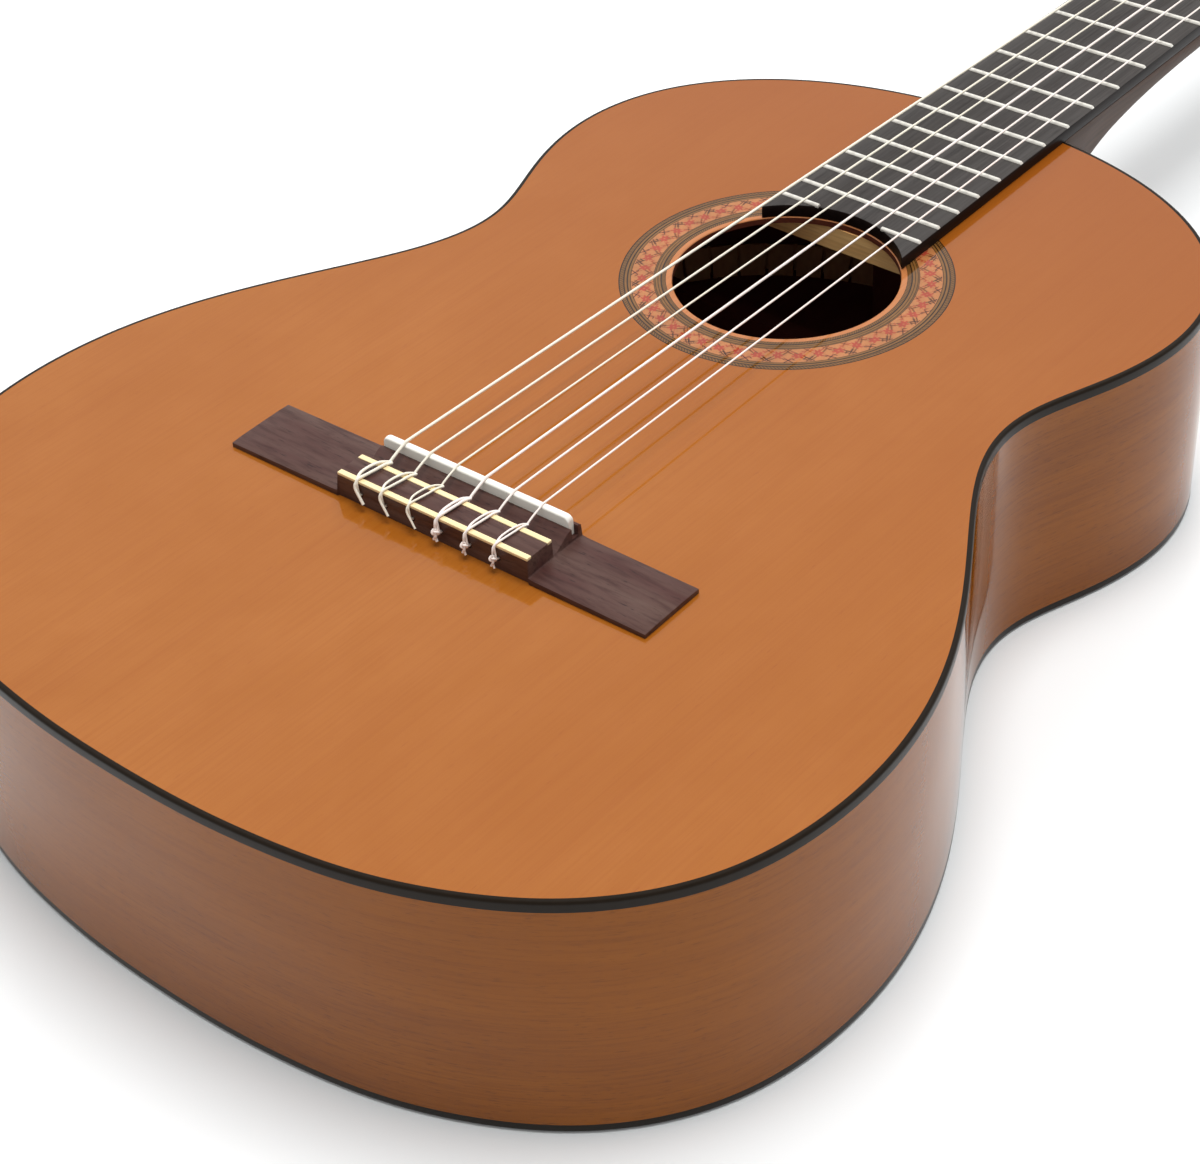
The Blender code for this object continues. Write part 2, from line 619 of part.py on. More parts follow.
# which roller takes which string, and where along the barrel it lands
ROLLER_OF = {1: (1, 0, 18.5), 2: (1, 1, 15.0), 3: (1, 2, 12.8), 4: (-1, 2, 12.8), 5: (-1, 1, 15.0), 6: (-1, 0, 18.5)}
for k in range(1, 7):
    r = STRING_R[k - 1]
    xs, xn = string_x_saddle(k), string_x_nut(k)
    zs = SADDLE_TOP + r + 0.15
    sgn, row, xb = ROLLER_OF[k]
    land = head_to_body(sgn * xb, ROLLER_S[row], ROLLER_Z + ROLLER_R + 0.2 + r)
    path = [(xs, 138.6, TIE_Z), (xs, 154.6, TIE_Z), (xs, 156.2, TIE_Z + 0.6), (xs, 162.9, zs - 1.2), (xs, 164.1, zs - 0.25),
            (xs, 165.2, zs), (xs, 167.0, zs - 0.02), (xn, NUT_Y + 0.5, STRING_Z_NUT), (xn, HEAD_Y - 1.2, STRING_Z_NUT - 0.05),
            (xn, HEAD_Y + 0.6, STRING_Z_NUT - 0.45), land]
    tube(f'string_{k}', path, r, M_NYLON if k <= 3 else M_WOUND)


# ---------------------------------------------------------------- machine heads
def machine_plate(name, sign):
    def bx(x0, x1, *rest):
        a, b = sorted((sign * x0, sign * x1))
        return box(a, b, *rest)
    zc = ROLLER_Z
    ob = build(name, *bx(PLATE_X0, PLATE_X1, 38, 142, zc - 7.6, zc + 7.6), M_PLATE, parent=HEAD)
    tabs, bores = [], []
    for s in ROLLER_S:
        sw = s + WORM_DS
        for z0, z1 in ((zc - 7.0, zc - 5.8), (zc + 5.8, zc + 7.0)):
            tabs.append(bx(PLATE_X1 - 0.5, 46.4, sw - 4.1, sw + 4.1, z0, z1))
        bores.append(rod('Z', (sign * GEAR_X, sw), 2.35, zc - 12, zc + 12, 12))
        lo, hi = sorted((sign * 30.0, sign * 40.0))
        bores.append(rod('X', (s, zc), BORE_R, lo, hi, 12))
    boolean(ob, build(f'{name}_tabs', *merged(tabs), None, parent=HEAD, cutter=True), 'UNION')
    boolean(ob, build(f'{name}_bores', *merged(bores), None, parent=HEAD, cutter=True))
    return ob


machine_plate('machine_plate_bass', -1)
machine_plate('machine_plate_treble', 1)


def roller(name, sign, s):
    """String roller turned in one with its worm gear; its axis is x."""
    n = GEAR_TEETH
    verts, faces = [], []

    def ring(x, r, per=1, radii=None):
        start = len(verts)
        if radii is None:
            for i in range(n):
                a = 2 * math.pi * (i + 0.5) / n
                verts.append((sign * x, r * math.cos(a), r * math.sin(a)))
        else:
            for i in range(n):
                for da, rr in radii:
                    a = 2 * math.pi * i / n + da
                    verts.append((sign * x, rr * math.cos(a), rr * math.sin(a)))
        return start

    def span(a, b, m):
        for i in range(m):
            j = (i + 1) % m
            faces.append((a + i, a + j, b + j, b + i))
    root, tip = GEAR_R - 1.0, GEAR_R + 0.7
    tooth = [(-0.55 / root, root), (-0.30 / tip, tip), (0.30 / tip, tip), (0.55 / root, root)]
    prof = [(4.0, SHAFT_R), (8.3, SHAFT_R), (8.3, ROLLER_R), (23.7, ROLLER_R), (23.7, SHAFT_R), (GEAR_X - GEAR_HALF_T, SHAFT_R)]
    ids = [ring(x, r) for x, r in prof]
    for a, b in zip(ids, ids[1:]):
        span(a, b, n)
    faces.append(tuple(ids[0] + i for i in range(n)))
    g0 = ring(GEAR_X - GEAR_HALF_T, 0, radii=tooth)
    g1 = ring(GEAR_X + GEAR_HALF_T, 0, radii=tooth)
    span(g0, g1, 4 * n)
    c0 = ids[-1]
    c1 = ring(GEAR_X + GEAR_HALF_T, 2.6)
    c2 = ring(GEAR_X + GEAR_HALF_T + 1.2, 2.2)
    # hub-ring point i sits half a pitch after tooth i, so each web face spans
    # from one tooth gap to the next and carries one whole tooth between them
    for hub, gear in ((c0, g0), (c1, g1)):
        for i in range(n):
            a, b = (i - 1) % n, i
            faces.append((hub + a, hub + b) + tuple(gear + 4 * i + q for q in (3, 2, 1, 0)))
            faces.append((hub + b, gear + 4 * ((i + 1) % n), gear + 4 * i + 3))
    span(c1, c2, n)
    faces.append(tuple(c2 + i for i in range(n)))
    return build(name, verts, faces, M_BARREL, parent=HEAD, loc=(0, s, ROLLER_Z))


def knob(name, sign, s):
    """Worm, its shaft and the button on the end; its axis is z."""
    n = 12
    root, crest_r = 2.0, WORM_R + 0.72
    v = (0.0, 0.36, 0.84, 1.2)
    m = 4
    K = 27                                       # steps of thread
    z0 = PITCH / 2 - 0.75 * PITCH - 0.6 - PITCH  # crest midway between two teeth at the gear
    z0 -= 0.0 if z0 + PITCH * (K / n + 1) < 5.2 else PITCH
    verts, faces, key = [], [], {}

    def vid(k, j):
        if j == m:
            return vid(k + n, 0)
        if (k, j) not in key:
            fade = min(1.0, k / 4.0, (K - k) / 4.0)
            r = root + ((crest_r - root) * max(0.0, fade) if j in (1, 2) else 0.0)
            a = 2 * math.pi * k / n
            key[(k, j)] = len(verts)
            verts.append((r * math.cos(a), r * math.sin(a), z0 + PITCH * k / n + v[j]))
        return key[(k, j)]

    def ring(z, rx, ry):
        start = len(verts)
        for i in range(n):
            a = 2 * math.pi * i / n
            verts.append((rx * math.cos(a), ry * math.sin(a), z))
        return start

    def span(a, b):
        for i in range(n):
            j = (i + 1) % n
            faces.append((a + i, a + j, b + j, b + i))
    for k in range(K):
        for j in range(m):
            faces.append((vid(k, j), vid(k + 1, j), vid(k + 1, j + 1), vid(k, j + 1)))
    low = ring(-5.45, root, root)
    high = ring(5.45, root, root)
    for k in range(n - 1):
        faces.append((low + k, low + k + 1, vid(k + 1, 0), vid(k, 0)))
    faces.append((low + n - 1, low, *[vid(0, j) for j in range(m)], vid(n, 0), vid(n - 1, 0)))
    c = K % n
    faces.append((vid(K, 0), vid(K + 1, 0), high + (c + 1) % n, high + c,
                  *[vid(K, j) for j in range(m, 0, -1)]))
    for k in range(K + 1, K + n):
        faces.append((vid(k, 0), vid(k + 1, 0), high + (k + 1) % n, high + k % n))
    up = [high] + [ring(z, r, r) for z, r in ((5.45, 1.9), (8.2, 1.9))]
    for a, b in zip(up, up[1:]):
        span(a, b)
    faces.append(tuple(up[-1] + i for i in range(n)))
    down = [low] + [ring(z, rx, ry) for z, rx, ry in
                    ((-5.45, 1.9, 1.9), (-14.6, 1.9, 1.9), (-14.6, 3.0, 3.0), (-16.4, 3.4, 3.4), (-18.6, 4.2, 7.0),
                     (-22.0, 4.5, 8.6), (-27.0, 4.4, 8.8), (-30.0, 3.6, 7.0), (-31.2, 2.2, 4.6))]
    for a, b in zip(down, down[1:]):
        span(a, b)
    faces.append(tuple(down[-1] + i for i in range(n)))
    return build(name, verts, faces, M_KNOB, parent=HEAD, loc=(sign * GEAR_X, s + WORM_DS, ROLLER_Z))


for k in range(1, 7):
    sgn, row, _ = ROLLER_OF[k]
    roller(f'string_roller_{k}', sgn, ROLLER_S[row])
    knob(f'tuning_knob_{k}', sgn, ROLLER_S[row])
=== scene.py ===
import bpy
import bmesh
import math
import numpy as np
from mathutils import Matrix, Vector


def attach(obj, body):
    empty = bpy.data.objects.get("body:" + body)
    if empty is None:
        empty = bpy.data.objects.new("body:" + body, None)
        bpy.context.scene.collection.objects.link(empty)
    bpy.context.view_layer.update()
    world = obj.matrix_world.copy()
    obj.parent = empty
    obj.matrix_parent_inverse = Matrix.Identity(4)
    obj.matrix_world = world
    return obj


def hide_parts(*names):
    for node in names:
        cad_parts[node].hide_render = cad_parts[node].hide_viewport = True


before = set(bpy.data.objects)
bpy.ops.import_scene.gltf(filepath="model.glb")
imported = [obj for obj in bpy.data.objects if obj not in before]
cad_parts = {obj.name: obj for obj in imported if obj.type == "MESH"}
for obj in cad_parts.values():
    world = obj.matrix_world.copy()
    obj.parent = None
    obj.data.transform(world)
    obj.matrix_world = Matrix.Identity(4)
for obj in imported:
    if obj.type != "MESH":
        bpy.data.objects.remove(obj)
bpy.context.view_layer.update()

# =====================================================================
# The design frame: x across (treble +), y from the tail to the head,
# z = 0 at the top face of the soundboard, millimetres.  W() takes it to
# the row frame in metres, where the flat back lies on z = 0.
# =====================================================================
PHI = math.atan2(4.0, 490.0)
CP, SP = math.cos(PHI), math.sin(PHI)


def W(p):
    p = np.asarray(p, float)
    x, y, z = p[..., 0], p[..., 1] - 245.0, p[..., 2] + 97.0
    return np.stack([x, y * CP + z * SP, -y * SP + z * CP], -1) * 0.001


def turn(v):
    v = np.asarray(v, float)
    x, y, z = v[..., 0], v[..., 1], v[..., 2]
    return np.stack([x, y * CP + z * SP, -y * SP + z * CP], -1)


# ---------------------------------------------------------------- camera
def rodrigues(rv):
    rv = np.array(rv, float)
    a = np.linalg.norm(rv)
    k = rv / a
    K = np.array([[0, -k[2], k[1]], [k[2], 0, -k[0]], [-k[1], k[0], 0]])
    return np.eye(3) + math.sin(a) * K + (1 - math.cos(a)) * (K @ K)


CAM_F, CAM_C = 2625.3271, (502.5079, -341.6986, 527.1004)
CAM_R = rodrigues((2.1492, 0.7464, -0.4192))
cam_data = bpy.data.cameras.new("camera")
cam = bpy.data.objects.new("camera", cam_data)
bpy.context.scene.collection.objects.link(cam)
bpy.context.scene.camera = cam
cam_data.sensor_fit = 'HORIZONTAL'
cam_data.sensor_width = 36.0
cam_data.lens = CAM_F / 1200.0 * 36.0
cam_data.clip_start = 0.01
cam_data.clip_end = 100.0
right, down, ahead = turn(CAM_R[0]), turn(CAM_R[1]), turn(CAM_R[2])
cm = Matrix(((right[0], -down[0], -ahead[0], 0), (right[1], -down[1], -ahead[1], 0),
             (right[2], -down[2], -ahead[2], 0), (0, 0, 0, 1)))
cm.translation = Vector(W(CAM_C))
cam.matrix_world = cm

# ---------------------------------------------------------------- dimensions
SCALE, BODY_LEN = 650.0, 490.0
NUT_Y = BODY_LEN + SCALE / 2
OUTLINE = [(0, 0), (30, 0.8), (60, 4), (90, 10.2), (118, 21), (143, 36),
           (163, 55.5), (177, 79), (184.5, 107), (186, 137), (182, 166),
           (173, 194), (160, 221), (145, 247), (131, 272), (123, 294),
           (122, 312), (127, 331), (134.5, 351), (140, 372), (141.5, 393),
           (138, 414), (129.5, 433), (115, 451), (95, 466.5), (70, 478.5),
           (40, 486.5), (0, 490)]
BIND_W, BIND_TOP_H, BIND_BACK_H = 2.0, 3.9, 3.6
PLATE_T, SIDE_T = 2.6, 2.2
HOLE_Y, HOLE_R = 340.6, 43.07
ROS_IN, ROS_OUT = 45.4, 63.3
LINING_IN, LINING_OUT, LINING_H = 2.5, 8.4, 13.1
FB_Z, FB_T, FB_END_R = 0.2, 5.0, 43.4
FB_TOP = FB_Z + FB_T
N_FRETS = 19
NUT_T, NUT_TOP = 5.5, 6.2
HEAD_TILT = math.radians(15.0)
HEAD_Y = NUT_Y + NUT_T
HEAD_T, HEAD_HALF = 20.0, 36.0
SLOT_X, SLOT_HALF, SLOT_S0, SLOT_S1 = 16.0, 8.0, 28.0, 143.0
ROLLER_S, ROLLER_Z, ROLLER_R = [52.0, 87.0, 122.0], -9.0, 4.5
SHAFT_R, BORE_R = 3.0, 3.45
PLATE_X0, PLATE_X1 = 36.3, 37.5
GEAR_TEETH, MODULE, GEAR_X, GEAR_HALF_T, WORM_R = 14, 0.8, 42.7, 1.2, 3.0
PITCH = math.pi * MODULE
GEAR_R = GEAR_TEETH * MODULE / 2
WORM_DS = GEAR_R + WORM_R
BRIDGE_X, BRIDGE_Y0, BRIDGE_Y1 = 91.0, 140.2, 168.6
SADDLE_Y, SADDLE_TOP, TIE_Z = 165.0, 11.7, 4.4
STRING_R = [0.36, 0.41, 0.51, 0.37, 0.44, 0.54]
ROLLER_OF = {1: (1, 0, 18.5), 2: (1, 1, 15.0), 3: (1, 2, 12.8), 4: (-1, 2, 12.8), 5: (-1, 1, 15.0), 6: (-1, 0, 18.5)}
DEPTH0, DEPTH1 = 99.0, 95.0


def depth(y):
    return DEPTH0 + (DEPTH1 - DEPTH0) * np.asarray(y, float) / BODY_LEN


def fb_half(y):
    return (52.0 + (NUT_Y - y) * 10.0 / (SCALE / 2)) / 2


def fret_y(n):
    return NUT_Y - SCALE * (1 - 2 ** (-n / 12))


def string_x_saddle(k):
    return (30.2, 17.9, 5.4, -7.1, -19.2, -30.4)[k - 1]


def string_x_nut(k):
    return (3.5 - k) * 8.4


def H(x, s, z):
    c, n = math.cos(HEAD_TILT), math.sin(HEAD_TILT)
    return (x, HEAD_Y + s * c + z * n, -s * n + z * c)


# =====================================================================
# Materials
# =====================================================================
def lin(c):
    c = [v / 255.0 for v in c]
    return tuple(v / 12.92 if v <= 0.04045 else ((v + 0.055) / 1.055) ** 2.4 for v in c)


class Mat:
    def __init__(self, name, colour=(0.5, 0.5, 0.5), rough=0.5, **kw):
        self.m = bpy.data.materials.new(name)
        self.m.use_nodes = True
        self.nt = self.m.node_tree
        self.b = self.nt.nodes['Principled BSDF']
        self.b.inputs['Base Color'].default_value = (*colour, 1)
        self.b.inputs['Roughness'].default_value = rough
        self.put(**kw)

    def put(self, **kw):
        names = dict(metal='Metallic', ior='IOR', coat='Coat Weight', coat_rough='Coat Roughness',
                     coat_ior='Coat IOR', spec='Specular IOR Level', sheen='Sheen Weight',
                     trans='Transmission Weight', sss='Subsurface Weight')
        for k, v in kw.items():
            self.b.inputs[names[k]].default_value = v
        return self

    def node(self, kind, **kw):
        n = self.nt.nodes.new(kind)
        for k, v in kw.items():
            setattr(n, k, v)
        return n

    def link(self, a, b):
        self.nt.links.new(a, b)

    def coords(self, scale=(1, 1, 1), kind='Object', loc=(0, 0, 0), rot=(0, 0, 0)):
        t = self.node('ShaderNodeTexCoord')
        mp = self.node('ShaderNodeMapping')
        mp.inputs['Scale'].default_value = scale
        mp.inputs['Location'].default_value = loc
        mp.inputs['Rotation'].default_value = rot
        self.link(t.outputs[kind], mp.inputs['Vector'])
        return mp.outputs['Vector']

    def noise(self, vec, scale=1.0, detail=4.0, rough=0.5, dist=0.0):
        n = self.node('ShaderNodeTexNoise')
        n.inputs['Scale'].default_value = scale
        n.inputs['Detail'].default_value = detail
        n.inputs['Roughness'].default_value = rough
        n.inputs['Distortion'].default_value = dist
        self.link(vec, n.inputs['Vector'])
        return n.outputs['Fac']

    def ramp(self, fac, stops):
        r = self.node('ShaderNodeValToRGB')
        e = r.color_ramp.elements
        while len(e) < len(stops):
            e.new(0.5)
        for i, (pos, c) in enumerate(stops):
            e[i].position = pos
            e[i].color = (*c, 1) if len(c) == 3 else c
        self.link(fac, r.inputs['Fac'])
        return r.outputs['Color']

    def grey(self, fac, lo, hi, out0=0.0, out1=1.0):
        n = self.node('ShaderNodeMapRange')
        n.inputs['From Min'].default_value = lo
        n.inputs['From Max'].default_value = hi
        n.inputs['To Min'].default_value = out0
        n.inputs['To Max'].default_value = out1
        n.clamp = True
        self.link(fac, n.inputs['Value'])
        return n.outputs['Result']

    def mix(self, fac, a, b, mode='MIX'):
        n = self.node('ShaderNodeMix', data_type='RGBA', blend_type=mode)
        for sock, v in ((n.inputs[0], fac), (n.inputs[6], a), (n.inputs[7], b)):
            if hasattr(v, 'is_output'):
                self.link(v, sock)
            elif isinstance(v, (int, float)):
                sock.default_value = v
            else:
                sock.default_value = (*v, 1)
        return n.outputs[2]

    def math(self, op, a, b=0.0):
        n = self.node('ShaderNodeMath', operation=op)
        for i, v in enumerate((a, b)):
            if hasattr(v, 'is_output'):
                self.link(v, n.inputs[i])
            else:
                n.inputs[i].default_value = v
        return n.outputs[0]

    def colour(self, sock):
        self.link(sock, self.b.inputs['Base Color'])
        return self

    def rough(self, sock):
        self.link(sock, self.b.inputs['Roughness'])
        return self

    def bump(self, sock, strength=0.2, dist=0.0002, coat=False):
        n = self.node('ShaderNodeBump')
        n.inputs['Strength'].default_value = strength
        n.inputs['Distance'].default_value = dist
        self.link(sock, n.inputs['Height'])
        self.link(n.outputs['Normal'], self.b.inputs['Normal'])
        if coat:
            self.link(n.outputs['Normal'], self.b.inputs['Coat Normal'])
        return self


def times(c, k):
    return tuple(min(1.0, v * k) for v in c)


GLAZE, LIT = 0.048, 1.36        # what the lacquer mirrors, and the light falling on the top


def seen(*rgb):
    """Wood colour under the lacquer for the colour it should show."""
    return tuple(max(0.003, (v - GLAZE) / LIT) for v in lin(rgb))


# --- amber lacquered top: fine straight grain running up the body
m = Mat('top_lacquer', seen(188, 122, 73), 0.4, coat=1.0, coat_rough=0.06, coat_ior=1.48, spec=0.0)
fine = m.noise(m.coords((1200, 14, 14)), 1.0, 3.0, 0.6, 0.15)
lines = m.noise(m.coords((420, 2.6, 3)), 1.0, 2.0, 0.5, 0.1)
patch = m.noise(m.coords((11, 7, 4), loc=(3.1, 1.7, 0)), 1.0, 4.0, 0.6, 1.0)
mott = m.noise(m.coords((60, 38, 10), loc=(7, 2, 0)), 1.0, 3.0, 0.6, 0.3)
pores = m.noise(m.coords((1500, 160, 160), loc=(9, 2, 0)), 1.0, 2.0, 0.6)
c = m.mix(m.grey(patch, 0.32, 0.68), seen(186, 118, 70), seen(194, 126, 75))
c = m.mix(m.grey(mott, 0.35, 0.65, 0.0, 0.35), c, seen(183, 115, 66))
c = m.mix(m.grey(fine, 0.42, 0.68, 0.0, 0.22), c, seen(168, 98, 50))
c = m.mix(m.grey(lines, 0.60, 0.74, 0.0, 0.16), c, seen(168, 98, 50))
c = m.mix(m.grey(pores, 0.66, 0.78, 0.0, 0.30), c, seen(150, 80, 40))
# painted shade: the top is blended darker from the waist towards the neck end of the body
top_shade_axis = m.node('ShaderNodeSeparateXYZ')
m.link(m.coords((1, 1, 1), loc=(0, 0.5, 0)), top_shade_axis.inputs[0])
c = m.mix(m.grey(top_shade_axis.outputs['Y'], 0.46, 0.72, 0.0, 0.75), c, seen(172, 104, 66))
m.colour(c)
M_TOP = m

# --- bare edge round the sound hole and underside of the top; the ring round the hole is the top's spruce painted lighter as a highlight
m = Mat('hole_edge_painted_highlight', seen(212, 142, 98), 0.4, coat=1.0, coat_rough=0.06, spec=0.0)
c = m.mix(m.grey(m.noise(m.coords((1200, 8, 8)), 1.0, 3.0), 0.3, 0.7), seen(216, 146, 102), seen(206, 136, 92))
m.colour(c)
M_HOLE_EDGE_LIT = m

m = Mat('hole_wall_wood', (0.12, 0.025, 0.012), 0.5)
c = m.mix(m.noise(m.coords((600, 600, 1800)), 1.0, 3.0), (0.16, 0.035, 0.014), (0.07, 0.014, 0.008))
m.colour(c)
M_HOLE_WALL = m


# --- lacquered mahogany sides and back; figure runs along the surface's first coordinate
def mahogany(name, kind, a, b, streak, coat_rough=0.06, sc=1.0):
    m = Mat(name, a, coat_rough, spec=0.5)
    m.b.inputs['IOR'].default_value = 1.35
    m.b.inputs['Specular Tint'].default_value = (1.0, 0.91, 0.80, 1)
    ribbon = m.noise(m.coords((7 * sc, 55 * sc, 1), kind), 1.0, 3.0, 0.6, 0.3)
    streaks = m.noise(m.coords((22 * sc, 900 * sc, 1), kind, loc=(4, 7, 0)), 1.0, 3.0, 0.6, 0.1)
    pore = m.noise(m.coords((170 * sc, 1700 * sc, 1), kind, loc=(1, 3, 0)), 1.0, 2.0, 0.6)
    cloud = m.noise(m.coords((6 * sc, 14 * sc, 1), kind, loc=(2, 5, 0)), 1.0, 2.0, 0.5)
    c = m.mix(m.grey(ribbon, 0.32, 0.68), a, b)
    c = m.mix(m.grey(streaks, 0.45, 0.75, 0.0, 0.55), c, streak)
    c = m.mix(m.grey(pore, 0.58, 0.72, 0.0, 0.65), c, times(streak, 0.6))
    c = m.mix(m.grey(cloud, 0.35, 0.7, 0.0, 0.35), c, times(b, 1.25))
    m.colour(c)
    return m


M_SIDE = mahogany('side_mahogany', 'UV', (0.205, 0.054, 0.001), (0.250, 0.071, 0.002), (0.128, 0.029, 0.0005))
M_BACK = mahogany('back_mahogany', 'UV', (0.190, 0.052, 0.001), (0.235, 0.068, 0.002), (0.12, 0.028, 0.0005))

m = Mat('raw_mahogany_inside', (0.08, 0.02, 0.014), 0.8)
c = m.mix(m.noise(m.coords((500, 12, 500)), 1.0, 4.0, 0.6), (0.105, 0.020, 0.014), (0.15, 0.034, 0.022))
m.colour(c)
M_INSIDE = m

# --- neck: satin finished, grain along its length
m = Mat('neck_mahogany_satin', (0.08, 0.04, 0.025), 0.5, spec=0.10, coat=0.06, coat_rough=0.25, coat_ior=1.3)
a = m.noise(m.coords((420, 9, 420)), 1.0, 4.0, 0.6, 0.2)
b = m.noise(m.coords((1300, 60, 1300)), 1.0, 2.0, 0.6)
c = m.mix(m.grey(a, 0.3, 0.7), (0.045, 0.022, 0.013), (0.080, 0.041, 0.026))
c = m.mix(m.grey(b, 0.6, 0.75, 0, 0.5), c, (0.05, 0.02, 0.012))
m.colour(c)
M_NECK = m

# --- binding
m = Mat('black_binding', (0.008, 0.005, 0.003), 0.3, spec=0.16)
c = m.mix(m.noise(m.coords((300, 300, 300)), 1.0, 3.0), (0.009, 0.0055, 0.0025), (0.015, 0.009, 0.005))
m.colour(c)
M_BIND = m


# --- rosewoods
def rosewood(name, a, b, dark, rough, stretch=(900, 20, 900), spec=0.5, **kw):
    m = Mat(name, a, rough, spec=spec, **kw)
    n1 = m.noise(m.coords(stretch), 1.0, 4.0, 0.6, 0.3)
    n2 = m.noise(m.coords(tuple(v * 0.18 for v in stretch), loc=(2, 3, 4)), 1.0, 3.0, 0.5, 0.8)
    n3 = m.noise(m.coords(tuple(v * 2.2 for v in stretch), loc=(5, 1, 2)), 1.0, 2.0, 0.6)
    c = m.mix(m.grey(n2, 0.3, 0.7), a, b)
    c = m.mix(m.grey(n1, 0.45, 0.7, 0, 0.7), c, dark)
    c = m.mix(m.grey(n3, 0.62, 0.72, 0, 0.8), c, times(dark, 0.4))
    m.colour(c)
    m.rough(m.grey(n1, 0.3, 0.7, rough - 0.06, rough + 0.10))
    m.bump(n3, 0.25, 0.00008)
    return m


M_FB = rosewood('fingerboard_rosewood', (0.040, 0.034, 0.031), (0.052, 0.046, 0.043), (0.020, 0.016, 0.015), 0.40,
                (1100, 22, 1100), spec=0.36)
# painted shade: the board's sides and bevels are the same rosewood, coloured near black as shade
M_FB_EDGE_SHADE = rosewood('fingerboard_edge_painted_shade', (0.010, 0.006, 0.005), (0.016, 0.009, 0.008), (0.005, 0.003, 0.003), 0.35,
                     (1100, 22, 1100), spec=0.12)
M_BRIDGE = rosewood('bridge_rosewood', (0.064, 0.022, 0.018), (0.096, 0.052, 0.040), (0.034, 0.011, 0.009), 0.38,
                    (70, 520, 520), spec=0.32)
M_VENEER = rosewood('headplate_rosewood', (0.055, 0.028, 0.022), (0.085, 0.048, 0.038), (0.020, 0.010, 0.008), 0.22,
                    (800, 14, 800), coat=0.8, coat_rough=0.06)

# --- raw spruce of linings, blocks and bars
m = Mat('raw_spruce_inside', (0.50, 0.33, 0.18), 0.75)
n = m.noise(m.coords((40, 900, 900)), 1.0, 3.0, 0.6)
n2 = m.noise(m.coords((30, 260, 260), loc=(3, 2, 1)), 1.0, 2.0, 0.5, 0.4)
c = m.mix(m.grey(n2, 0.3, 0.7), (0.76, 0.42, 0.15), (0.95, 0.61, 0.25))
c = m.mix(m.grey(n, 0.45, 0.7, 0, 0.4), c, (0.50, 0.26, 0.10))
m.colour(c)
M_SPRUCE = m

m = Mat('kerfed_lining_wood', (0.20, 0.10, 0.05), 0.8)
c = m.mix(m.noise(m.coords((500, 500, 60)), 1.0, 3.0), (0.56, 0.27, 0.13), (0.72, 0.40, 0.20))
m.colour(c)
M_LINING = m

# --- bone / plastic whites
m = Mat('saddle_white', (0.94, 0.93, 0.88), 0.28, coat=0.3, coat_rough=0.15)
c = m.mix(m.noise(m.coords((60, 400, 400)), 1.0, 3.0), (0.99, 0.97, 0.90), (0.95, 0.93, 0.85))
m.colour(c)
M_BONE = m

m = Mat('cream_strip', (0.86, 0.72, 0.42), 0.35, coat=0.2, coat_rough=0.2)
c = m.mix(m.noise(m.coords((25, 500, 500)), 1.0, 3.0), (0.90, 0.76, 0.44), (0.82, 0.64, 0.34))
m.colour(c)
M_CREAM = m

m = Mat('knob_pearl', (0.84, 0.80, 0.70), 0.22, coat=0.6, coat_rough=0.1)
c = m.mix(m.grey(m.noise(m.coords((90, 60, 160)), 1.0, 4.0, 0.5, 1.5), 0.3, 0.7), (0.90, 0.87, 0.79), (0.72, 0.66, 0.52))
m.colour(c)
M_PEARL = m

m = Mat('barrel_white', (0.80, 0.78, 0.70), 0.35)
c = m.mix(m.noise(m.coords((300, 300, 300)), 1.0, 2.0), (0.84, 0.82, 0.74), (0.76, 0.73, 0.64))
m.colour(c)
M_BARREL = m


# --- metals
def metal(name, a, b, rough, scale=(400, 400, 400), bump=0.1):
    m = Mat(name, a, rough, metal=1.0)
    n = m.noise(m.coords(scale), 1.0, 3.0, 0.6)
    m.colour(m.mix(n, a, b))
    m.rough(m.grey(n, 0.25, 0.75, rough * 0.75, rough * 1.3))
    m.bump(n, bump, 0.00003)
    return m


M_FRET = metal('fret_nickel', (0.97, 0.94, 0.86), (0.90, 0.87, 0.79), 0.32, (60, 900, 900))
M_FRET.b.inputs['Metallic'].default_value = 0.45
M_GILT = metal('gilt_plate', (0.86, 0.66, 0.32), (0.78, 0.56, 0.24), 0.20)
M_BRASS = metal('gear_brass', (0.80, 0.60, 0.28), (0.66, 0.46, 0.20), 0.28)
M_STEEL = metal('worm_steel', (0.72, 0.70, 0.66), (0.60, 0.58, 0.55), 0.25)

# --- strings
m = Mat('clear_nylon', (0.96, 0.86, 0.80), 0.22, spec=0.6, coat=0.4, coat_rough=0.1)
c = m.mix(m.noise(m.coords((300, 40, 300)), 1.0, 2.0), (1.0, 0.90, 0.84), (0.93, 0.80, 0.74))
m.colour(c)
M_NYLON = m

m = Mat('wound_silver', (0.95, 0.92, 0.84), 0.35, metal=0.1, spec=0.6)
w = m.node('ShaderNodeTexWave', wave_type='BANDS', bands_direction='Y', wave_profile='SIN')
w.inputs['Scale'].default_value = 1.0
w.inputs['Distortion'].default_value = 0.4
m.link(m.coords((1, 1500, 1)), w.inputs['Vector'])
c = m.mix(w.outputs['Fac'], (0.88, 0.80, 0.64), (1.0, 0.95, 0.84))
m.colour(c)
m.bump(w.outputs['Fac'], 0.35, 0.00006)
M_WOUND = m


# =====================================================================
# Mesh helpers
# =====================================================================
def loft(rings, closed=False, caps=True):
    n, k = len(rings[0]), len(rings)
    verts = np.concatenate([np.asarray(r, float) for r in rings])
    faces = []
    for i in range(k if closed else k - 1):
        j = (i + 1) % k
        for a in range(n):
            b = (a + 1) % n
            faces.append((i * n + a, i * n + b, j * n + b, j * n + a))
    if caps and not closed:
        faces.append(tuple(range(n)))
        faces.append(tuple((k - 1) * n + a for a in range(n)))
    return verts, faces


def prism(poly, z0, z1):
    return loft([[(x, y, z0) for x, y in poly], [(x, y, z1) for x, y in poly]])


def box(x0, x1, y0, y1, z0, z1):
    return prism([(x0, y0), (x1, y0), (x1, y1), (x0, y1)], z0, z1)


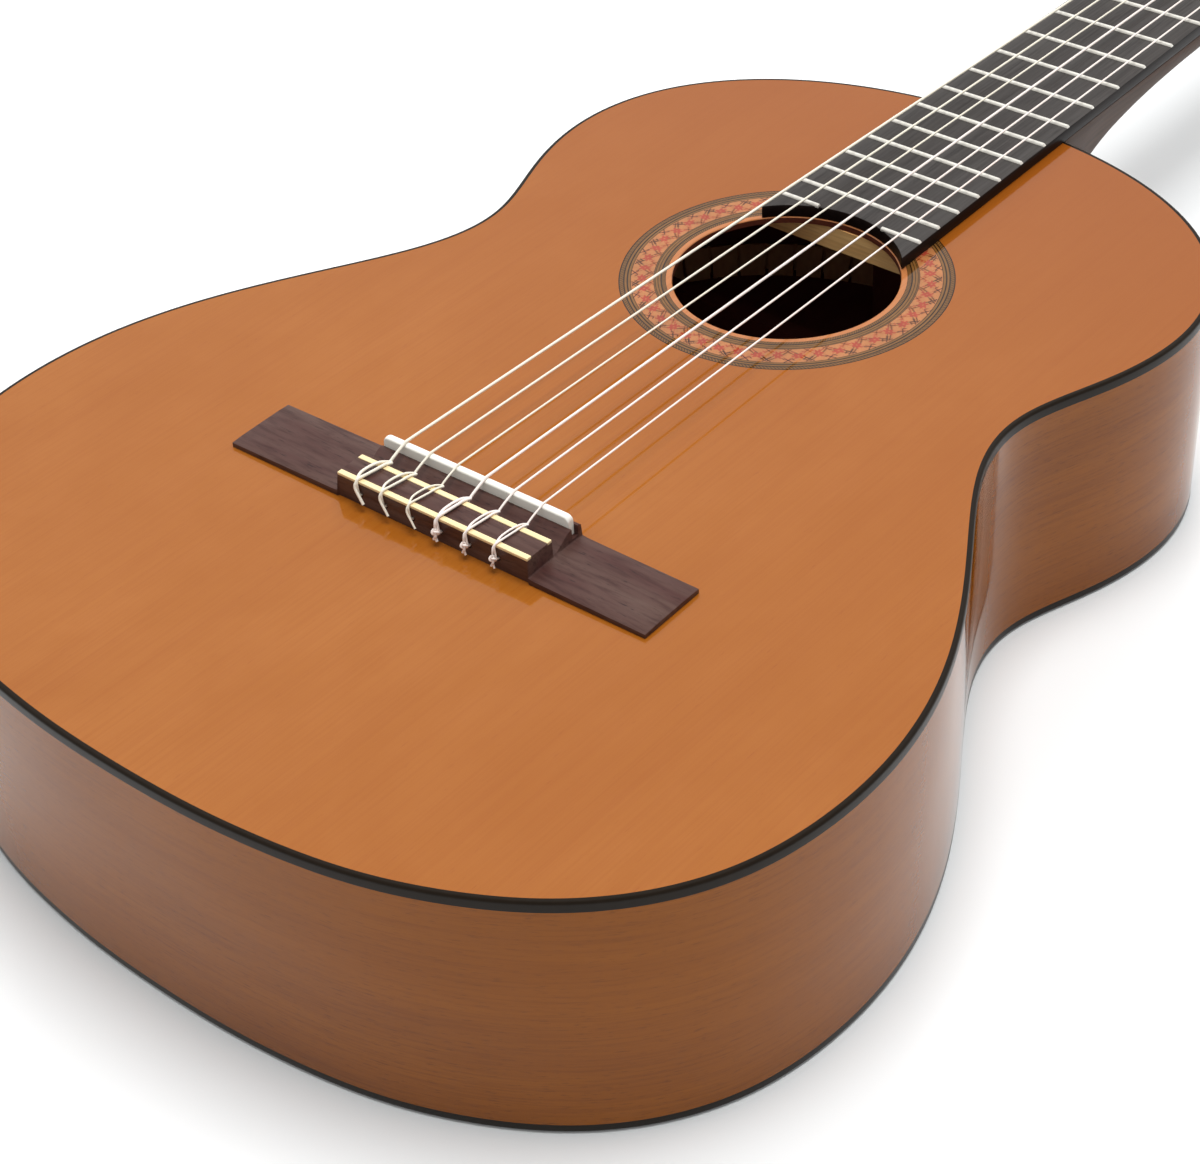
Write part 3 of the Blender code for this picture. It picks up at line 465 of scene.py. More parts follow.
def merged(parts):
    vs, fs, o = [], [], 0
    for v, f in parts:
        v = np.asarray(v, float)
        vs.append(v)
        fs += [tuple(i + o for i in q) for q in f]
        o += len(v)
    return np.concatenate(vs), fs


def tube(pts, r, n=12, smooth=1, caps=True):
    """A round tube along a polyline, its frame carried along without twist."""
    p = np.asarray(pts, float)
    rad = np.full(len(p), r, float) if np.isscalar(r) else np.asarray(r, float)
    t = np.gradient(p, axis=0)
    t /= np.linalg.norm(t, axis=1)[:, None]
    u = np.cross(t[0], (0, 0, 1.0))
    if np.linalg.norm(u) < 1e-3:
        u = np.array((1.0, 0, 0))
    rings = []
    for i in range(len(p)):
        u = u - t[i] * u.dot(t[i])
        u /= np.linalg.norm(u)
        v = np.cross(t[i], u)
        a = 2 * np.pi * np.arange(n) / n
        rings.append(p[i] + rad[i] * (np.cos(a)[:, None] * u + np.sin(a)[:, None] * v))
    return loft(rings, caps=caps)


def curve(pts, per=8):
    """Points on a Catmull-Rom curve through pts."""
    p = np.asarray(pts, float)
    e = np.vstack([2 * p[0] - p[1], p, 2 * p[-1] - p[-2]])
    out = []
    for i in range(1, len(e) - 2):
        for t in np.linspace(0, 1, per, endpoint=False):
            a, b, c, d = e[i - 1], e[i], e[i + 1], e[i + 2]
            out.append(0.5 * (2 * b + (c - a) * t + (2 * a - 5 * b + 4 * c - d) * t * t +
                              (3 * b - a - 3 * c + d) * t ** 3))
    out.append(p[-1])
    return np.array(out)


def lathe(profile, n=32, axis='Z', centre=(0, 0, 0), sx=1.0, sy=1.0):
    """Rings of (along, radius) round an axis; returns a capped loft."""
    rings = []
    for h, r in profile:
        a = 2 * np.pi * np.arange(n) / n
        u, v = r * np.cos(a) * sx, r * np.sin(a) * sy
        if axis == 'X':
            ring = np.stack([np.full(n, h), u, v], 1)
        elif axis == 'Y':
            ring = np.stack([u, np.full(n, h), v], 1)
        else:
            ring = np.stack([u, v, np.full(n, h)], 1)
        rings.append(ring + np.asarray(centre, float))
    return loft(rings)


def raw_object(name, verts, faces, head=False):
    v = np.asarray(verts, float)
    if head:
        v = np.stack(H(v[:, 0], v[:, 1], v[:, 2]), 1)
    me = bpy.data.meshes.new(name)
    me.from_pydata(W(v).tolist(), [], [tuple(int(i) for i in f) for f in faces])
    bm = bmesh.new()
    bm.from_mesh(me)
    bmesh.ops.recalc_face_normals(bm, faces=bm.faces)
    bm.to_mesh(me)
    bm.free()
    ob = bpy.data.objects.new(name, me)
    bpy.context.scene.collection.objects.link(ob)
    return ob


def dress(ob, mat, body='guitar', rep=(), angle=38):
    me = ob.data
    me.materials.clear()
    for mm in (mat if isinstance(mat, (list, tuple)) else [mat]):
        me.materials.append(mm.m)
    me.shade_smooth()
    me.set_sharp_from_angle(angle=math.radians(angle))
    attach(ob, body)
    if rep:
        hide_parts(*rep)
    return ob


def piece(name, vf, mat, body='guitar', rep=(), angle=38, head=False, uv=None):
    ob = raw_object(name, vf[0], vf[1], head)
    if uv is not None:
        layer = ob.data.uv_layers.new(name='UVMap')
        idx = np.empty(len(ob.data.loops), np.int64)
        ob.data.loops.foreach_get('vertex_index', idx)
        layer.data.foreach_set('uv', np.asarray(uv, np.float32)[idx].ravel())
    return dress(ob, mat, body, rep, angle)


def apply_modifiers(ob):
    bpy.context.view_layer.update()
    dg = bpy.context.evaluated_depsgraph_get()
    me = bpy.data.meshes.new_from_object(ob.evaluated_get(dg), depsgraph=dg)
    old = ob.data
    ob.modifiers.clear()
    ob.data = me
    bpy.data.meshes.remove(old)
    return ob


def cut(ob, cutters, op='DIFFERENCE'):
    for c in cutters:
        md = ob.modifiers.new('cut', 'BOOLEAN')
        md.operation = op
        md.solver = 'EXACT'
        md.object = c
    apply_modifiers(ob)
    for c in cutters:
        me = c.data
        bpy.data.objects.remove(c)
        bpy.data.meshes.remove(me)
    return ob


def bevel(ob, width, segments=2, limit=35):
    md = ob.modifiers.new('bevel', 'BEVEL')
    md.width = width * 0.001
    md.segments = segments
    md.limit_method = 'ANGLE'
    md.angle_limit = math.radians(limit)
    md.harden_normals = False
    apply_modifiers(ob)
    return ob


def by_face(ob, rule):
    """Set each face's material from rule(centres, normals) in metres."""
    me = ob.data
    n = len(me.polygons)
    c = np.empty(n * 3, np.float32)
    me.polygons.foreach_get('center', c)
    nn = np.empty(n * 3, np.float32)
    me.polygons.foreach_get('normal', nn)
    idx = rule(c.reshape(-1, 3), nn.reshape(-1, 3)).astype(np.int32)
    me.polygons.foreach_set('material_index', idx)
    me.update()


# =====================================================================
# Body outline
# =====================================================================
def spline_outline(points, n):
    left = [(-x, y) for x, y in reversed(points[1:-1])]
    p = np.array(points + left, float)
    k = len(p)
    d = np.linalg.norm(np.roll(p, -1, 0) - p, axis=1)
    a, b = np.zeros((k, k)), np.zeros((k, 2))
    for i in range(k):
        h0, h1 = d[i - 1], d[i]
        a[i, i - 1] += h0
        a[i, i] += 2 * (h0 + h1)
        a[i, (i + 1) % k] += h1
        b[i] = 6 * ((p[(i + 1) % k] - p[i]) / h1 - (p[i] - p[i - 1]) / h0)
    s = np.linalg.solve(a, b)
    fine = []
    for i in range(k):
        h, j = d[i], (i + 1) % k
        for t in np.linspace(0, 1, 24, endpoint=False):
            u, v = 1 - t, t
            fine.append(u * p[i] + v * p[j] + h * h / 6 * ((u ** 3 - u) * s[i] + (v ** 3 - v) * s[j]))
    fine = np.array(fine)
    for _ in range(60):
        fine = 0.25 * np.roll(fine, 1, 0) + 0.5 * fine + 0.25 * np.roll(fine, -1, 0)
    loop = np.vstack([fine, fine[:1]])
    arc = np.concatenate([[0], np.cumsum(np.linalg.norm(np.diff(loop, axis=0), axis=1))])
    at = np.linspace(0, arc[-1], n, endpoint=False)
    q = np.stack([np.interp(at, arc, loop[:, i]) for i in (0, 1)], 1)
    mirror = np.stack([-np.roll(q[::-1, 0], 1), np.roll(q[::-1, 1], 1)], 1)
    q = (q + mirror) / 2
    lo, hi = q[:, 1].min(), q[:, 1].max()
    q[:, 1] = (q[:, 1] - lo) * BODY_LEN / (hi - lo)
    return q


N_EDGE = 720
EDGE = spline_outline(OUTLINE, N_EDGE)
coarse = spline_outline(OUTLINE, 72)
EDGE[:, 0] *= np.abs(coarse[:, 0]).max() / np.abs(EDGE[:, 0]).max()
EDGE[0, 0] = EDGE[N_EDGE // 2, 0] = 0.0
ARC = np.concatenate([[0], np.cumsum(np.linalg.norm(np.diff(np.vstack([EDGE, EDGE[:1]]), axis=0), axis=1))])


def inset(d):
    t = np.roll(EDGE, -1, 0) - np.roll(EDGE, 1, 0)
    t /= np.linalg.norm(t, axis=1)[:, None]
    return EDGE + d * np.stack([-t[:, 1], t[:, 0]], 1)


def edge_y(x, d, head):
    p = inset(d)
    half = p[p[:, 1] > BODY_LEN / 2] if head else p[p[:, 1] < BODY_LEN / 2]
    half = half[np.abs(half[:, 0]) < 90]
    half = half[np.argsort(half[:, 0])]
    return float(np.interp(x, half[:, 0], half[:, 1]))


def edge_strip(profile):
    """Closed strip round the body; profile is (inset, z or z(y))."""
    cols = []
    for d, z in profile:
        p = inset(d)
        zz = z(p[:, 1]) if callable(z) else np.full(len(p), float(z))
        cols.append(np.stack([p[:, 0], p[:, 1], zz], 1))
    rings = np.stack(cols, 1)
    return loft(list(rings), closed=True)


# =====================================================================
# Soundboard, rosette
# =====================================================================
rim = inset(BIND_W)
ang = np.arctan2(rim[:, 1] - HOLE_Y, rim[:, 0])
unit = np.stack([np.cos(ang), np.sin(ang)], 1)
centre = np.array([0, HOLE_Y])


def at_r(r):
    return centre + r * unit


def lift(p, z):
    return np.concatenate([p, np.full((len(p), 1), float(z))], 1)


near = at_r(66.0)
cols = [lift(rim, 0)] + [lift(rim + (near - rim) * t, 0) for t in (0.33, 0.66, 1.0)] + \
       [lift(at_r(r), z) for r, z in ((ROS_OUT, 0), (ROS_OUT, -1.15), (ROS_IN, -1.15), (ROS_IN, 0),
                                      (HOLE_R + 0.3, 0), (HOLE_R, -0.3), (HOLE_R, -PLATE_T))] + \
       [lift(rim, -PLATE_T)]
sb = raw_object('soundboard_v', *loft(list(np.stack(cols, 1)), closed=True))


def sb_rule(c, n):
    r = np.hypot(c[:, 0], c[:, 1] - W((0, HOLE_Y, 0))[1]) * 1000
    out = np.zeros(len(c), int)
    # the ring round the hole takes the painted highlight colour
    out[(r < ROS_IN + 0.1) & (n[:, 2] > 0.3)] = 1
    out[(r < HOLE_R + 0.6) & (np.abs(n[:, 2]) < 0.3)] = 2
    out[n[:, 2] < -0.5] = 3
    return out


dress(sb, [M_TOP, M_HOLE_EDGE_LIT, M_HOLE_WALL, M_SPRUCE], rep=['soundboard'], angle=25)
by_face(sb, sb_rule)

# rosette: a fine polar grid, coloured point by point from the marquetry pattern
REP = 23
NA, ri, ro = REP * 52, ROS_IN + 0.03, ROS_OUT - 0.03
radii = np.linspace(ri, ro, 68)
th = 2 * np.pi * np.arange(NA) / NA
prof_r = np.concatenate([radii, [ro, ri]])
prof_z = np.concatenate([np.zeros(len(radii)), [-1.1, -1.1]])
grid = np.stack([prof_r[None, :] * np.cos(th)[:, None], HOLE_Y + prof_r[None, :] * np.sin(th)[:, None],
                 np.broadcast_to(prof_z, (NA, len(prof_r)))], 2)
ros = raw_object('rosette_v', *loft(list(grid), closed=True))

CREAM_W, TAN_W, DARK_W = seen(204, 140, 98), seen(150, 112, 78), (0.012, 0.004, 0.001)
RED_W, OLIVE_W, BROWN_W = seen(188, 94, 80), seen(92, 68, 44), seen(158, 92, 64)


def rosette_colour(theta, r):
    """Colour of the inlay at an angle and a radius (arrays)."""
    c = np.empty(theta.shape + (3,))
    c[:] = TAN_W
    turnu = (np.degrees(theta) + 13.8) / (360.0 / REP)
    u = turnu % 1.0

    def paint(mask, col, k=1.0):
        c[mask] = c[mask] * (1 - k) + np.array(col) * k
    # tan and dark lines either side
    for a, b in ((46.85, 47.3), (48.1, 48.5), (49.2, 49.6), (58.5, 59.0), (59.7, 60.15), (60.9, 61.35),
                 (62.8, 63.4)):
        paint((r >= a) & (r < b), DARK_W)
    # dotted bands of slanting dashes
    for a, b, sg in ((45.3, 46.9, 1), (61.3, 62.85, -1)):
        band = (r >= a) & (r < b)
        ph = (turnu * 13 + sg * (r - a) * 0.55) % 1.0
        paint(band & (ph < 0.5), DARK_W, 0.7)
        paint((r >= a) & (r < a + 0.22), DARK_W, 0.8)
    paint((r >= 49.85) & (r < 50.15), DARK_W)
    # mosaic band
    mos = (r >= 50.15) & (r < 58.5)
    paint(mos, CREAM_W)
    pitch = 2 * np.pi * 54.3 / REP                    # mm per repeat
    x = u * pitch
    mid, amp = 54.2, 3.1
    tri = 1 - 4 * np.abs(((u + 0.0) % 1.0) - 0.5)       # -1 at u 0, +1 at u .5
    zig = mid - amp * tri
    slope = 4 * amp / pitch
    d = np.abs(r - zig) / math.sqrt(1 + slope ** 2)
    d2 = np.abs(r - (2 * mid - zig)) / math.sqrt(1 + slope ** 2)
    paint(mos & (np.abs(d - 0.62) < 0.24), OLIVE_W, 0.75)
    paint(mos & (np.abs(d2 - 0.50) < 0.20), RED_W, 0.5)

    def local(u0, r0):
        dx = ((u - u0 + 0.5) % 1.0 - 0.5) * pitch
        return dx, r - r0

    def star(u0, r0, rx, ry, col, k):
        dx, dy = local(u0, r0)
        a = np.arctan2(dy / ry, dx / rx)
        q = np.hypot(dx / rx, dy / ry)
        paint(mos & (q < 0.78 + 0.22 * np.cos(k * a)), col)
        paint(mos & (q < 0.16), CREAM_W, 0.7)
    for u0, r0, rx, ry in ((0.25, 53.9, 2.0, 2.7), (0.75, 54.5, 2.7, 2.0)):
        star(u0, r0, rx, ry, RED_W, 6)
    for u0, r0 in ((0.0, 57.0), (0.5, 51.4), (0.5, 57.3), (0.0, 51.2)):
        dx, dy = local(u0, r0)
        arm = (np.abs(np.abs(dx) - np.abs(dy) * 1.15) < 0.30) & (np.abs(dy) < 1.35) & (np.abs(dx) < 1.6)
        paint(mos & arm, OLIVE_W if r0 > 54 else BROWN_W)
        paint(mos & (np.hypot(dx / 0.8, dy / 0.55) < 0.55), DARK_W, 0.7)
    for u0, r0, s in ((0.12, 56.6, 1), (0.38, 56.4, -1), (0.62, 52.0, 1), (0.88, 52.1, -1),
                      (0.12, 51.6, -1), (0.38, 51.8, 1), (0.62, 56.7, -1), (0.88, 56.6, 1)):
        dx, dy = local(u0, r0)
        q = np.hypot((dx + s * dy * 0.8) / 0.42, (dy - s * dx * 0.3) / 1.0)
        paint(mos & (q < 0.8), OLIVE_W if r0 > 54 else RED_W, 0.75)
    # far from perfect: each repeat a little lighter or darker
    shade = 1 + 0.05 * np.sin(turnu * 2.1) + 0.04 * np.sin(turnu * 17.0 + r)
    return np.clip(c * shade[..., None], 0, 1)


tt, rr = np.meshgrid(th, prof_r, indexing='ij')
cols4 = np.concatenate([rosette_colour(tt, rr).reshape(-1, 3), np.ones((NA * len(prof_r), 1))], 1)
ca = ros.data.color_attributes.new(name='inlay', type='FLOAT_COLOR', domain='POINT')
ca.data.foreach_set('color', cols4.astype(np.float32).ravel())
m = Mat('rosette_mosaic_lacquer', (0.4, 0.25, 0.12), 0.4, coat=1.0, coat_rough=0.05, spec=0.0)
at = m.node('ShaderNodeAttribute', attribute_name='inlay')
g = m.noise(m.coords((1500, 1500, 400)), 1.0, 2.0, 0.6)
m.colour(m.mix(m.grey(g, 0.5, 0.75, 0.0, 0.25), at.outputs['Color'], (0.10, 0.05, 0.02)))
M_MOSAIC = m
dress(ros, M_MOSAIC, rep=['rosette'], angle=25)

# =====================================================================
# Bindings, sides, back, linings
# =====================================================================
R = 1.15
arc5 = [(R - R * math.sin(a), -R + R * math.cos(a)) for a in np.linspace(0, math.pi / 2, 6)]
prof = [(BIND_W, 0.0)] + [(d, z) for d, z in arc5] + [(0.0, -BIND_TOP_H), (BIND_W, -BIND_TOP_H)]
piece('top_binding_v', edge_strip(prof), M_BIND, rep=['top_binding'], angle=40)


def zb(h):
    return lambda y: -depth(y) + h


prof = [(BIND_W, zb(0.0))] + [(d, zb(-z)) for d, z in arc5] + [(0.0, zb(BIND_BACK_H)), (BIND_W, zb(BIND_BACK_H))]
piece('back_binding_v', edge_strip(prof), M_BIND, rep=['back_binding'], angle=40)


def side(name, sign, node):
    half = N_EDGE // 2
    idx = [(sign * i) % N_EDGE for i in range(half + 1)]
    o, i2 = EDGE, inset(SIDE_T)
    rings, uv = [], []
    u0 = np.minimum(ARC[idx], ARC[-1] - ARC[idx]) if sign < 0 else ARC[idx]
    u0 = np.abs(ARC[idx] - (ARC[-1] if sign < 0 else 0.0))
    if sign < 0:
        u0[0] = 0.0
    for n, i in enumerate(idx):
        yo, yi = o[i, 1], i2[i, 1]
        zo = np.linspace(-BIND_TOP_H, -depth(yo) + BIND_BACK_H, 9)
        ring = [(o[i, 0], yo, z) for z in zo] + [(i2[i, 0], yi, z) for z in zo[::-1]]
        ring = [((0.0 if n in (0, half) else x), y, z) for x, y, z in ring]
        rings.append(ring)
        uv += [(sign * u0[n] * 0.001, z * 0.001) for _, _, z in ring]
    ob = piece(name, loft(rings), [M_SIDE, M_INSIDE], rep=[node], angle=30, uv=uv)

    def rule(c, nn):
        out = np.zeros(len(c), int)
        out[:half * 18] = (np.arange(half * 18) % 18 >= 9) & (np.arange(half * 18) % 18 <= 16)
        return out
    by_face(ob, rule)
    return ob


side('side_treble_v', 1, 'side_treble')
side('side_bass_v', -1, 'side_bass')

poly = inset(BIND_W)
lowp = np.stack([poly[:, 0], poly[:, 1], -depth(poly[:, 1])], 1)
highp = lowp + (0, 0, PLATE_T)
uvb = np.concatenate([lowp, highp])[:, [1, 0]] * 0.001
bk = piece('back_v', loft([lowp, highp]), [M_BACK, M_INSIDE], rep=['back'], angle=25, uv=uvb)
by_face(bk, lambda c, n: (n[:, 2] > 0.5).astype(int))


def kerfed(name, node, top):
    """A lining sawn through every few millimetres down to a thin web."""
    web, inner, foot = inset(LINING_IN), inset(LINING_OUT), inset(4.0)
    total = ARC[-1]
    count = 110
    step = total / count
    parts = []
    base = -PLATE_T - 0.02 if top else PLATE_T + 0.02
    far = base - LINING_H if top else base + LINING_H

    def pt(p, s, z):
        s = s % total
        x = np.interp(s, ARC, np.append(p[:, 0], p[0, 0]))
        y = np.interp(s, ARC, np.append(p[:, 1], p[0, 1]))
        return (x, y, z if top else z - float(depth(y)))
    for i in range(count):
        rings = []
        for s in (i * step + 0.75, (i + 0.33) * step, (i + 0.67) * step, (i + 1) * step - 0.75):
            rings.append([pt(web, s, base), pt(inner, s, base), pt(inner, s, base + (far - base) * 0.30),
                          pt(foot, s, far), pt(web, s, far)])
        parts.append(loft(rings))
    thin = inset(LINING_IN + 0.8)
    rings = []
    for s in np.linspace(0, total, 240, endpoint=False):
        rings.append([pt(web, s, base), pt(thin, s, base), pt(thin, s, far), pt(web, s, far)])
    parts.append(loft(rings, closed=True))
    piece(name, merged(parts), M_LINING, rep=[node], angle=30)


kerfed('top_lining_v', 'top_lining', True)
kerfed('back_lining_v', 'back_lining', False)
for n in ('head_block', 'tail_block', 'soundboard_bracing', 'back_bracing'):
    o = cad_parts[n]
    o.data.materials.clear()
    o.data.materials.append((M_SPRUCE if n == 'soundboard_bracing' else M_INSIDE).m)

# =====================================================================
# Neck, heel and slotted headstock
# =====================================================================
COLS, ROWS = 14, 12


def neck_ring(half_w, deep, heel=0.0, square=0.0, heel_half=12.0):
    side_pts, under = [], []
    a_b = math.radians(68)
    k = 1 - heel - square
    for j in range(ROWS + 1):
        t = j / ROWS
        a = a_b * t
        d_x, d_z = half_w * math.cos(a) ** 0.85, -deep * math.sin(a)
        h_x = heel_half + (half_w - heel_half) * (1 - t) ** 1.7
        side_pts.append((k * d_x + square * half_w + heel * h_x, k * d_z - square * deep * t - heel * deep * t))
    for j in range(COLS + 1):
        t = j / COLS
        a = a_b + (math.pi - 2 * a_b) * t
        d_x = half_w * math.copysign(abs(math.cos(a)) ** 0.85, math.cos(a))
        d_z = -deep * math.sin(a)
        under.append((k * d_x + square * half_w * (1 - 2 * t) + heel * heel_half * (1 - 2 * t),
                      k * d_z - (square + heel) * deep))
    topp = [(-half_w + 2 * half_w * j / COLS, 0.0) for j in range(COLS + 1)]
    right = side_pts[1:-1]
    left = [(-x, z) for x, z in reversed(side_pts[1:-1])]
    return topp + right + under + left


def pchip(x, y, xs):
    x, y = np.asarray(x, float), np.asarray(y, float)
    h, d = np.diff(x), np.diff(y) / np.diff(x)
    s = np.zeros(len(x))
    for i in range(1, len(x) - 1):
        if d[i - 1] * d[i] > 0:
            w1, w2 = 2 * h[i] + h[i - 1], h[i] + 2 * h[i - 1]
            s[i] = (w1 + w2) / (w1 / d[i - 1] + w2 / d[i])
    s[0], s[-1] = d[0], d[-1]
    i = np.clip(np.searchsorted(x, xs, side='right') - 1, 0, len(x) - 2)
    t = (xs - x[i]) / h[i]
    return (y[i] * (1 + 2 * t) * (1 - t) ** 2 + s[i] * h[i] * t * (1 - t) ** 2 +
            y[i + 1] * t * t * (3 - 2 * t) + s[i + 1] * h[i] * t * t * (t - 1))


HEEL = np.array([(490, 94.6, 1.0, 12.0), (496, 94.6, 1.0, 12.0), (504, 94.4, 1.0, 11.5), (511, 92.5, 0.98, 10.5),
                 (515.5, 87, 0.94, 9.5), (519, 78, 0.86, 9.0), (523, 66, 0.76, 9.0), (528, 54, 0.64, 9.5),
                 (535, 43, 0.48, 10.0), (545, 33.5, 0.3, 11.0), (558, 26.5, 0.14, 12.0), (575, 21.8, 0.04, 12.0),
                 (600, 19.4, 0, 12.0), (700, 18.2, 0, 12.0), (806, 16.6, 0, 12.0)])
rings = []
first = neck_ring(fb_half(BODY_LEN), DEPTH1 - 0.4, heel=1.0)
rings.append([(x, edge_y(x, 0, True) + 0.1, z) for x, z in first])
for y in np.concatenate([np.arange(494, 508, 3.5), np.arange(508, 540, 1.6), np.arange(540, 604, 4), [640, 700, 760, 806]]):
    d, h, hh = (float(pchip(HEEL[:, 0], HEEL[:, i], np.array([y]))[0]) for i in (1, 2, 3))
    rings.append([(x, y, z) for x, z in neck_ring(fb_half(y), d, heel=max(0.0, h), heel_half=hh)])
c2, s2 = math.cos(HEAD_TILT / 2), math.sin(HEAD_TILT / 2)
rings.append([(x, HEAD_Y + h * s2, h * c2) for x, h in neck_ring(26.0, 17.2, square=0.35)])
HS = np.array([(0, 26.0, 17.2, 0.35), (9, 27.6, 18.6, 0.8), (18, 32.0, 20.0, 1.0), (24, 34.6, 20.0, 1.0),
               (31, 36.0, 20.0, 1.0), (158, 36.0, 20.0, 1.0), (166, 34.8, 20.0, 1.0)])
for s in (4.5, 9, 12, 15, 18, 21, 24, 27.5, 31, 60, 100, 140, 158, 162, 166):
    w_, d, q = (float(pchip(HS[:, 0], HS[:, i], np.array([float(s)]))[0]) for i in (1, 2, 3))
    rings.append([H(x, s, h) for x, h in neck_ring(w_, d, square=q)])


def crest_point(x, h):
    u = x / 31.0
    return H(x, 170 + 8.0 * (1 - u * u) + 1.8 * math.cos(3 * math.pi * u), h)


last = neck_ring(31.0, HEAD_T, square=1.0)
rings.append([crest_point(x, h) for x, h in last])
nv, nf = loft(rings, caps=False)
nv = [tuple(p) for p in nv]


def grid_cap(base, sec, point):
    def left(r):
        return 0 if r == 0 else len(sec) - r

    def vid(c, r):
        if r == 0:
            return base + c
        if r == ROWS:
            return base + 2 * COLS + ROWS - c
        if c == 0:
            return base + left(r)
        if c == COLS:
            return base + COLS + r
        return inner[(c, r)]
    inner = {}
    for r in range(1, ROWS):
        (xl, z), (xr, _) = sec[left(r)], sec[COLS + r]
        for c in range(1, COLS):
            inner[(c, r)] = len(nv)
            nv.append(point(xl + (xr - xl) * c / COLS, z))
    for r in range(ROWS):
        for c in range(COLS):
            nf.append((vid(c, r), vid(c + 1, r), vid(c + 1, r + 1), vid(c, r + 1)))


grid_cap(0, first, lambda x, z: (x, edge_y(x, 0, True) + 0.1, z))
grid_cap(len(first) * (len(rings) - 1), last, crest_point)
neck = raw_object('neck_v', nv, nf)
cutters = []
for sign in (-1, 1):
    cx = sign * SLOT_X
    poly = ([(cx + SLOT_HALF * math.cos(a), SLOT_S1 - SLOT_HALF + SLOT_HALF * math.sin(a))
             for a in [math.pi * i / 16 for i in range(17)]] +
            [(cx + SLOT_HALF * math.cos(a), SLOT_S0 + SLOT_HALF + SLOT_HALF * math.sin(a))
             for a in [math.pi + math.pi * i / 16 for i in range(17)]])
    cutters.append(raw_object('c1', *prism(poly, -30, 12), head=True))
    lo, hi = sorted((sign * 3.5, sign * 45.0))
    cutters.append(raw_object('c2', *merged([lathe([(lo, BORE_R), (hi, BORE_R)], 24, 'X', (0, s, ROLLER_Z))
                                             for s in ROLLER_S]), head=True))
cut(neck, cutters)
bevel(neck, 0.45, 2, 50)
dress(neck, [M_NECK, M_VENEER], rep=['neck'], angle=40)
face_n = turn(np.array([0, math.sin(HEAD_TILT), math.cos(HEAD_TILT)]))


def neck_rule(c, n):
    s0 = W(H(0, 1.5, 0))
    along = turn(np.array([0, math.cos(HEAD_TILT), -math.sin(HEAD_TILT)]))
    on_head = ((c - s0) @ along > 0) & ((c - s0) @ face_n > -0.0012)
    return (on_head & (n @ face_n > 0.8)).astype(int)


by_face(neck, neck_rule)

# =====================================================================
# Fingerboard, frets, nut
# =====================================================================
arc0 = math.acos(min(1.0, fb_half(370) / FB_END_R))
arc_pts = [(FB_END_R * math.cos(a), HOLE_Y + FB_END_R * math.sin(a)) for a in np.linspace(math.pi - arc0, arc0, 61)]
yn = NUT_Y - 0.02
fb_poly = [(-fb_half(yn), yn)] + arc_pts + [(fb_half(yn), yn)]
fb = raw_object('fingerboard_v', *prism(fb_poly, FB_Z - 0.18, FB_TOP))
bevel(fb, 0.35, 2, 50)
dress(fb, [M_FB, M_FB_EDGE_SHADE], rep=['fingerboard'], angle=38)
# faces not facing up get the painted-shade rosewood
by_face(fb, lambda c, n: (n[:, 2] < 0.75).astype(int))


def fret(name, node, y, x0, x1, b0=True, b1=True):
    w, base = 0.9, FB_TOP - 0.02
    prof = [(w * math.cos(a), base + 0.12 + 0.93 * math.sin(a) ** 0.85) for a in np.linspace(0, math.pi, 13)]
    prof = [(w, base - 0.3), (w, base)] + prof + [(-w, base), (-w, base - 0.3)]
    rings = []
    for x, sg, b, t in ((x0, -1, b0, 0), (x0, -1, b0, 1), (x1, 1, b1, 1), (x1, 1, b1, 0)):
        ring = []
        for dy, z in prof:
            back = 0.75 * max(0.0, z - base) if b else 0.12 * max(0.0, z - base)
            ring.append((x - sg * (back + t * 0.12), y + dy * (1 if t else 0.93), z - (0 if t else 0.05)))
        rings.append(ring)
    piece(name, loft(rings), M_FRET, rep=[node], angle=50)


for n in range(1, N_FRETS):
    h = fb_half(fret_y(n)) - 0.15
    fret(f'fret_{n:02d}_v', f'fret_{n:02d}', fret_y(n), -h, h)
h19 = fb_half(fret_y(19)) - 0.15
fret('fret_19_bass_v', 'fret_19_bass', fret_y(19), -h19, -14.6, True, False)
fret('fret_19_treble_v', 'fret_19_treble', fret_y(19), 14.6, h19, False, True)

prof = [(NUT_Y + 0.02, FB_Z), (NUT_Y + NUT_T - 0.4, FB_Z), (NUT_Y + NUT_T - 0.4, NUT_TOP - 0.9),
        (NUT_Y + NUT_T - 0.9, NUT_TOP - 0.35), (NUT_Y + 3.0, NUT_TOP - 0.05), (NUT_Y + 1.0, NUT_TOP), (NUT_Y + 0.02, NUT_TOP - 0.15)]
nut = raw_object('nut_v', *loft([[(x, y, z) for y, z in prof] for x in np.linspace(-25.8, 25.8, 9)]))
bevel(nut, 0.3, 2, 40)
dress(nut, M_BONE, rep=['nut'])

# =====================================================================
# Bridge
# =====================================================================
BR_Z = 0.02
TIE_X0, TIE_X1 = -40.6, 43.0
SLANT, SLANT_AT = 0.020, (1.2, 154.4)     # the bridge sits a hair askew, longer on the bass side
CENTRE = [(140.9, BR_Z), (140.9, 8.6), (143.25, 8.6), (143.25, 9.62), (151.25, 9.62), (151.25, 8.6), (153.5, 8.6),
          (153.5, 3.2), (155.2, 3.3), (161.2, 7.2), (162.6, 7.65), (167.4, 7.6), (168.4, 6.8), (168.6, BR_Z)]


def slant(p):
    p = np.asarray(p, float)
    c, n = math.cos(SLANT), math.sin(SLANT)
    x, y = p[..., 0] - SLANT_AT[0], p[..., 1] - SLANT_AT[1]
    return np.stack([SLANT_AT[0] + c * x - n * y, SLANT_AT[1] + n * x + c * y, p[..., 2]], -1)


def askew(vf):
    return slant(vf[0]), vf[1]


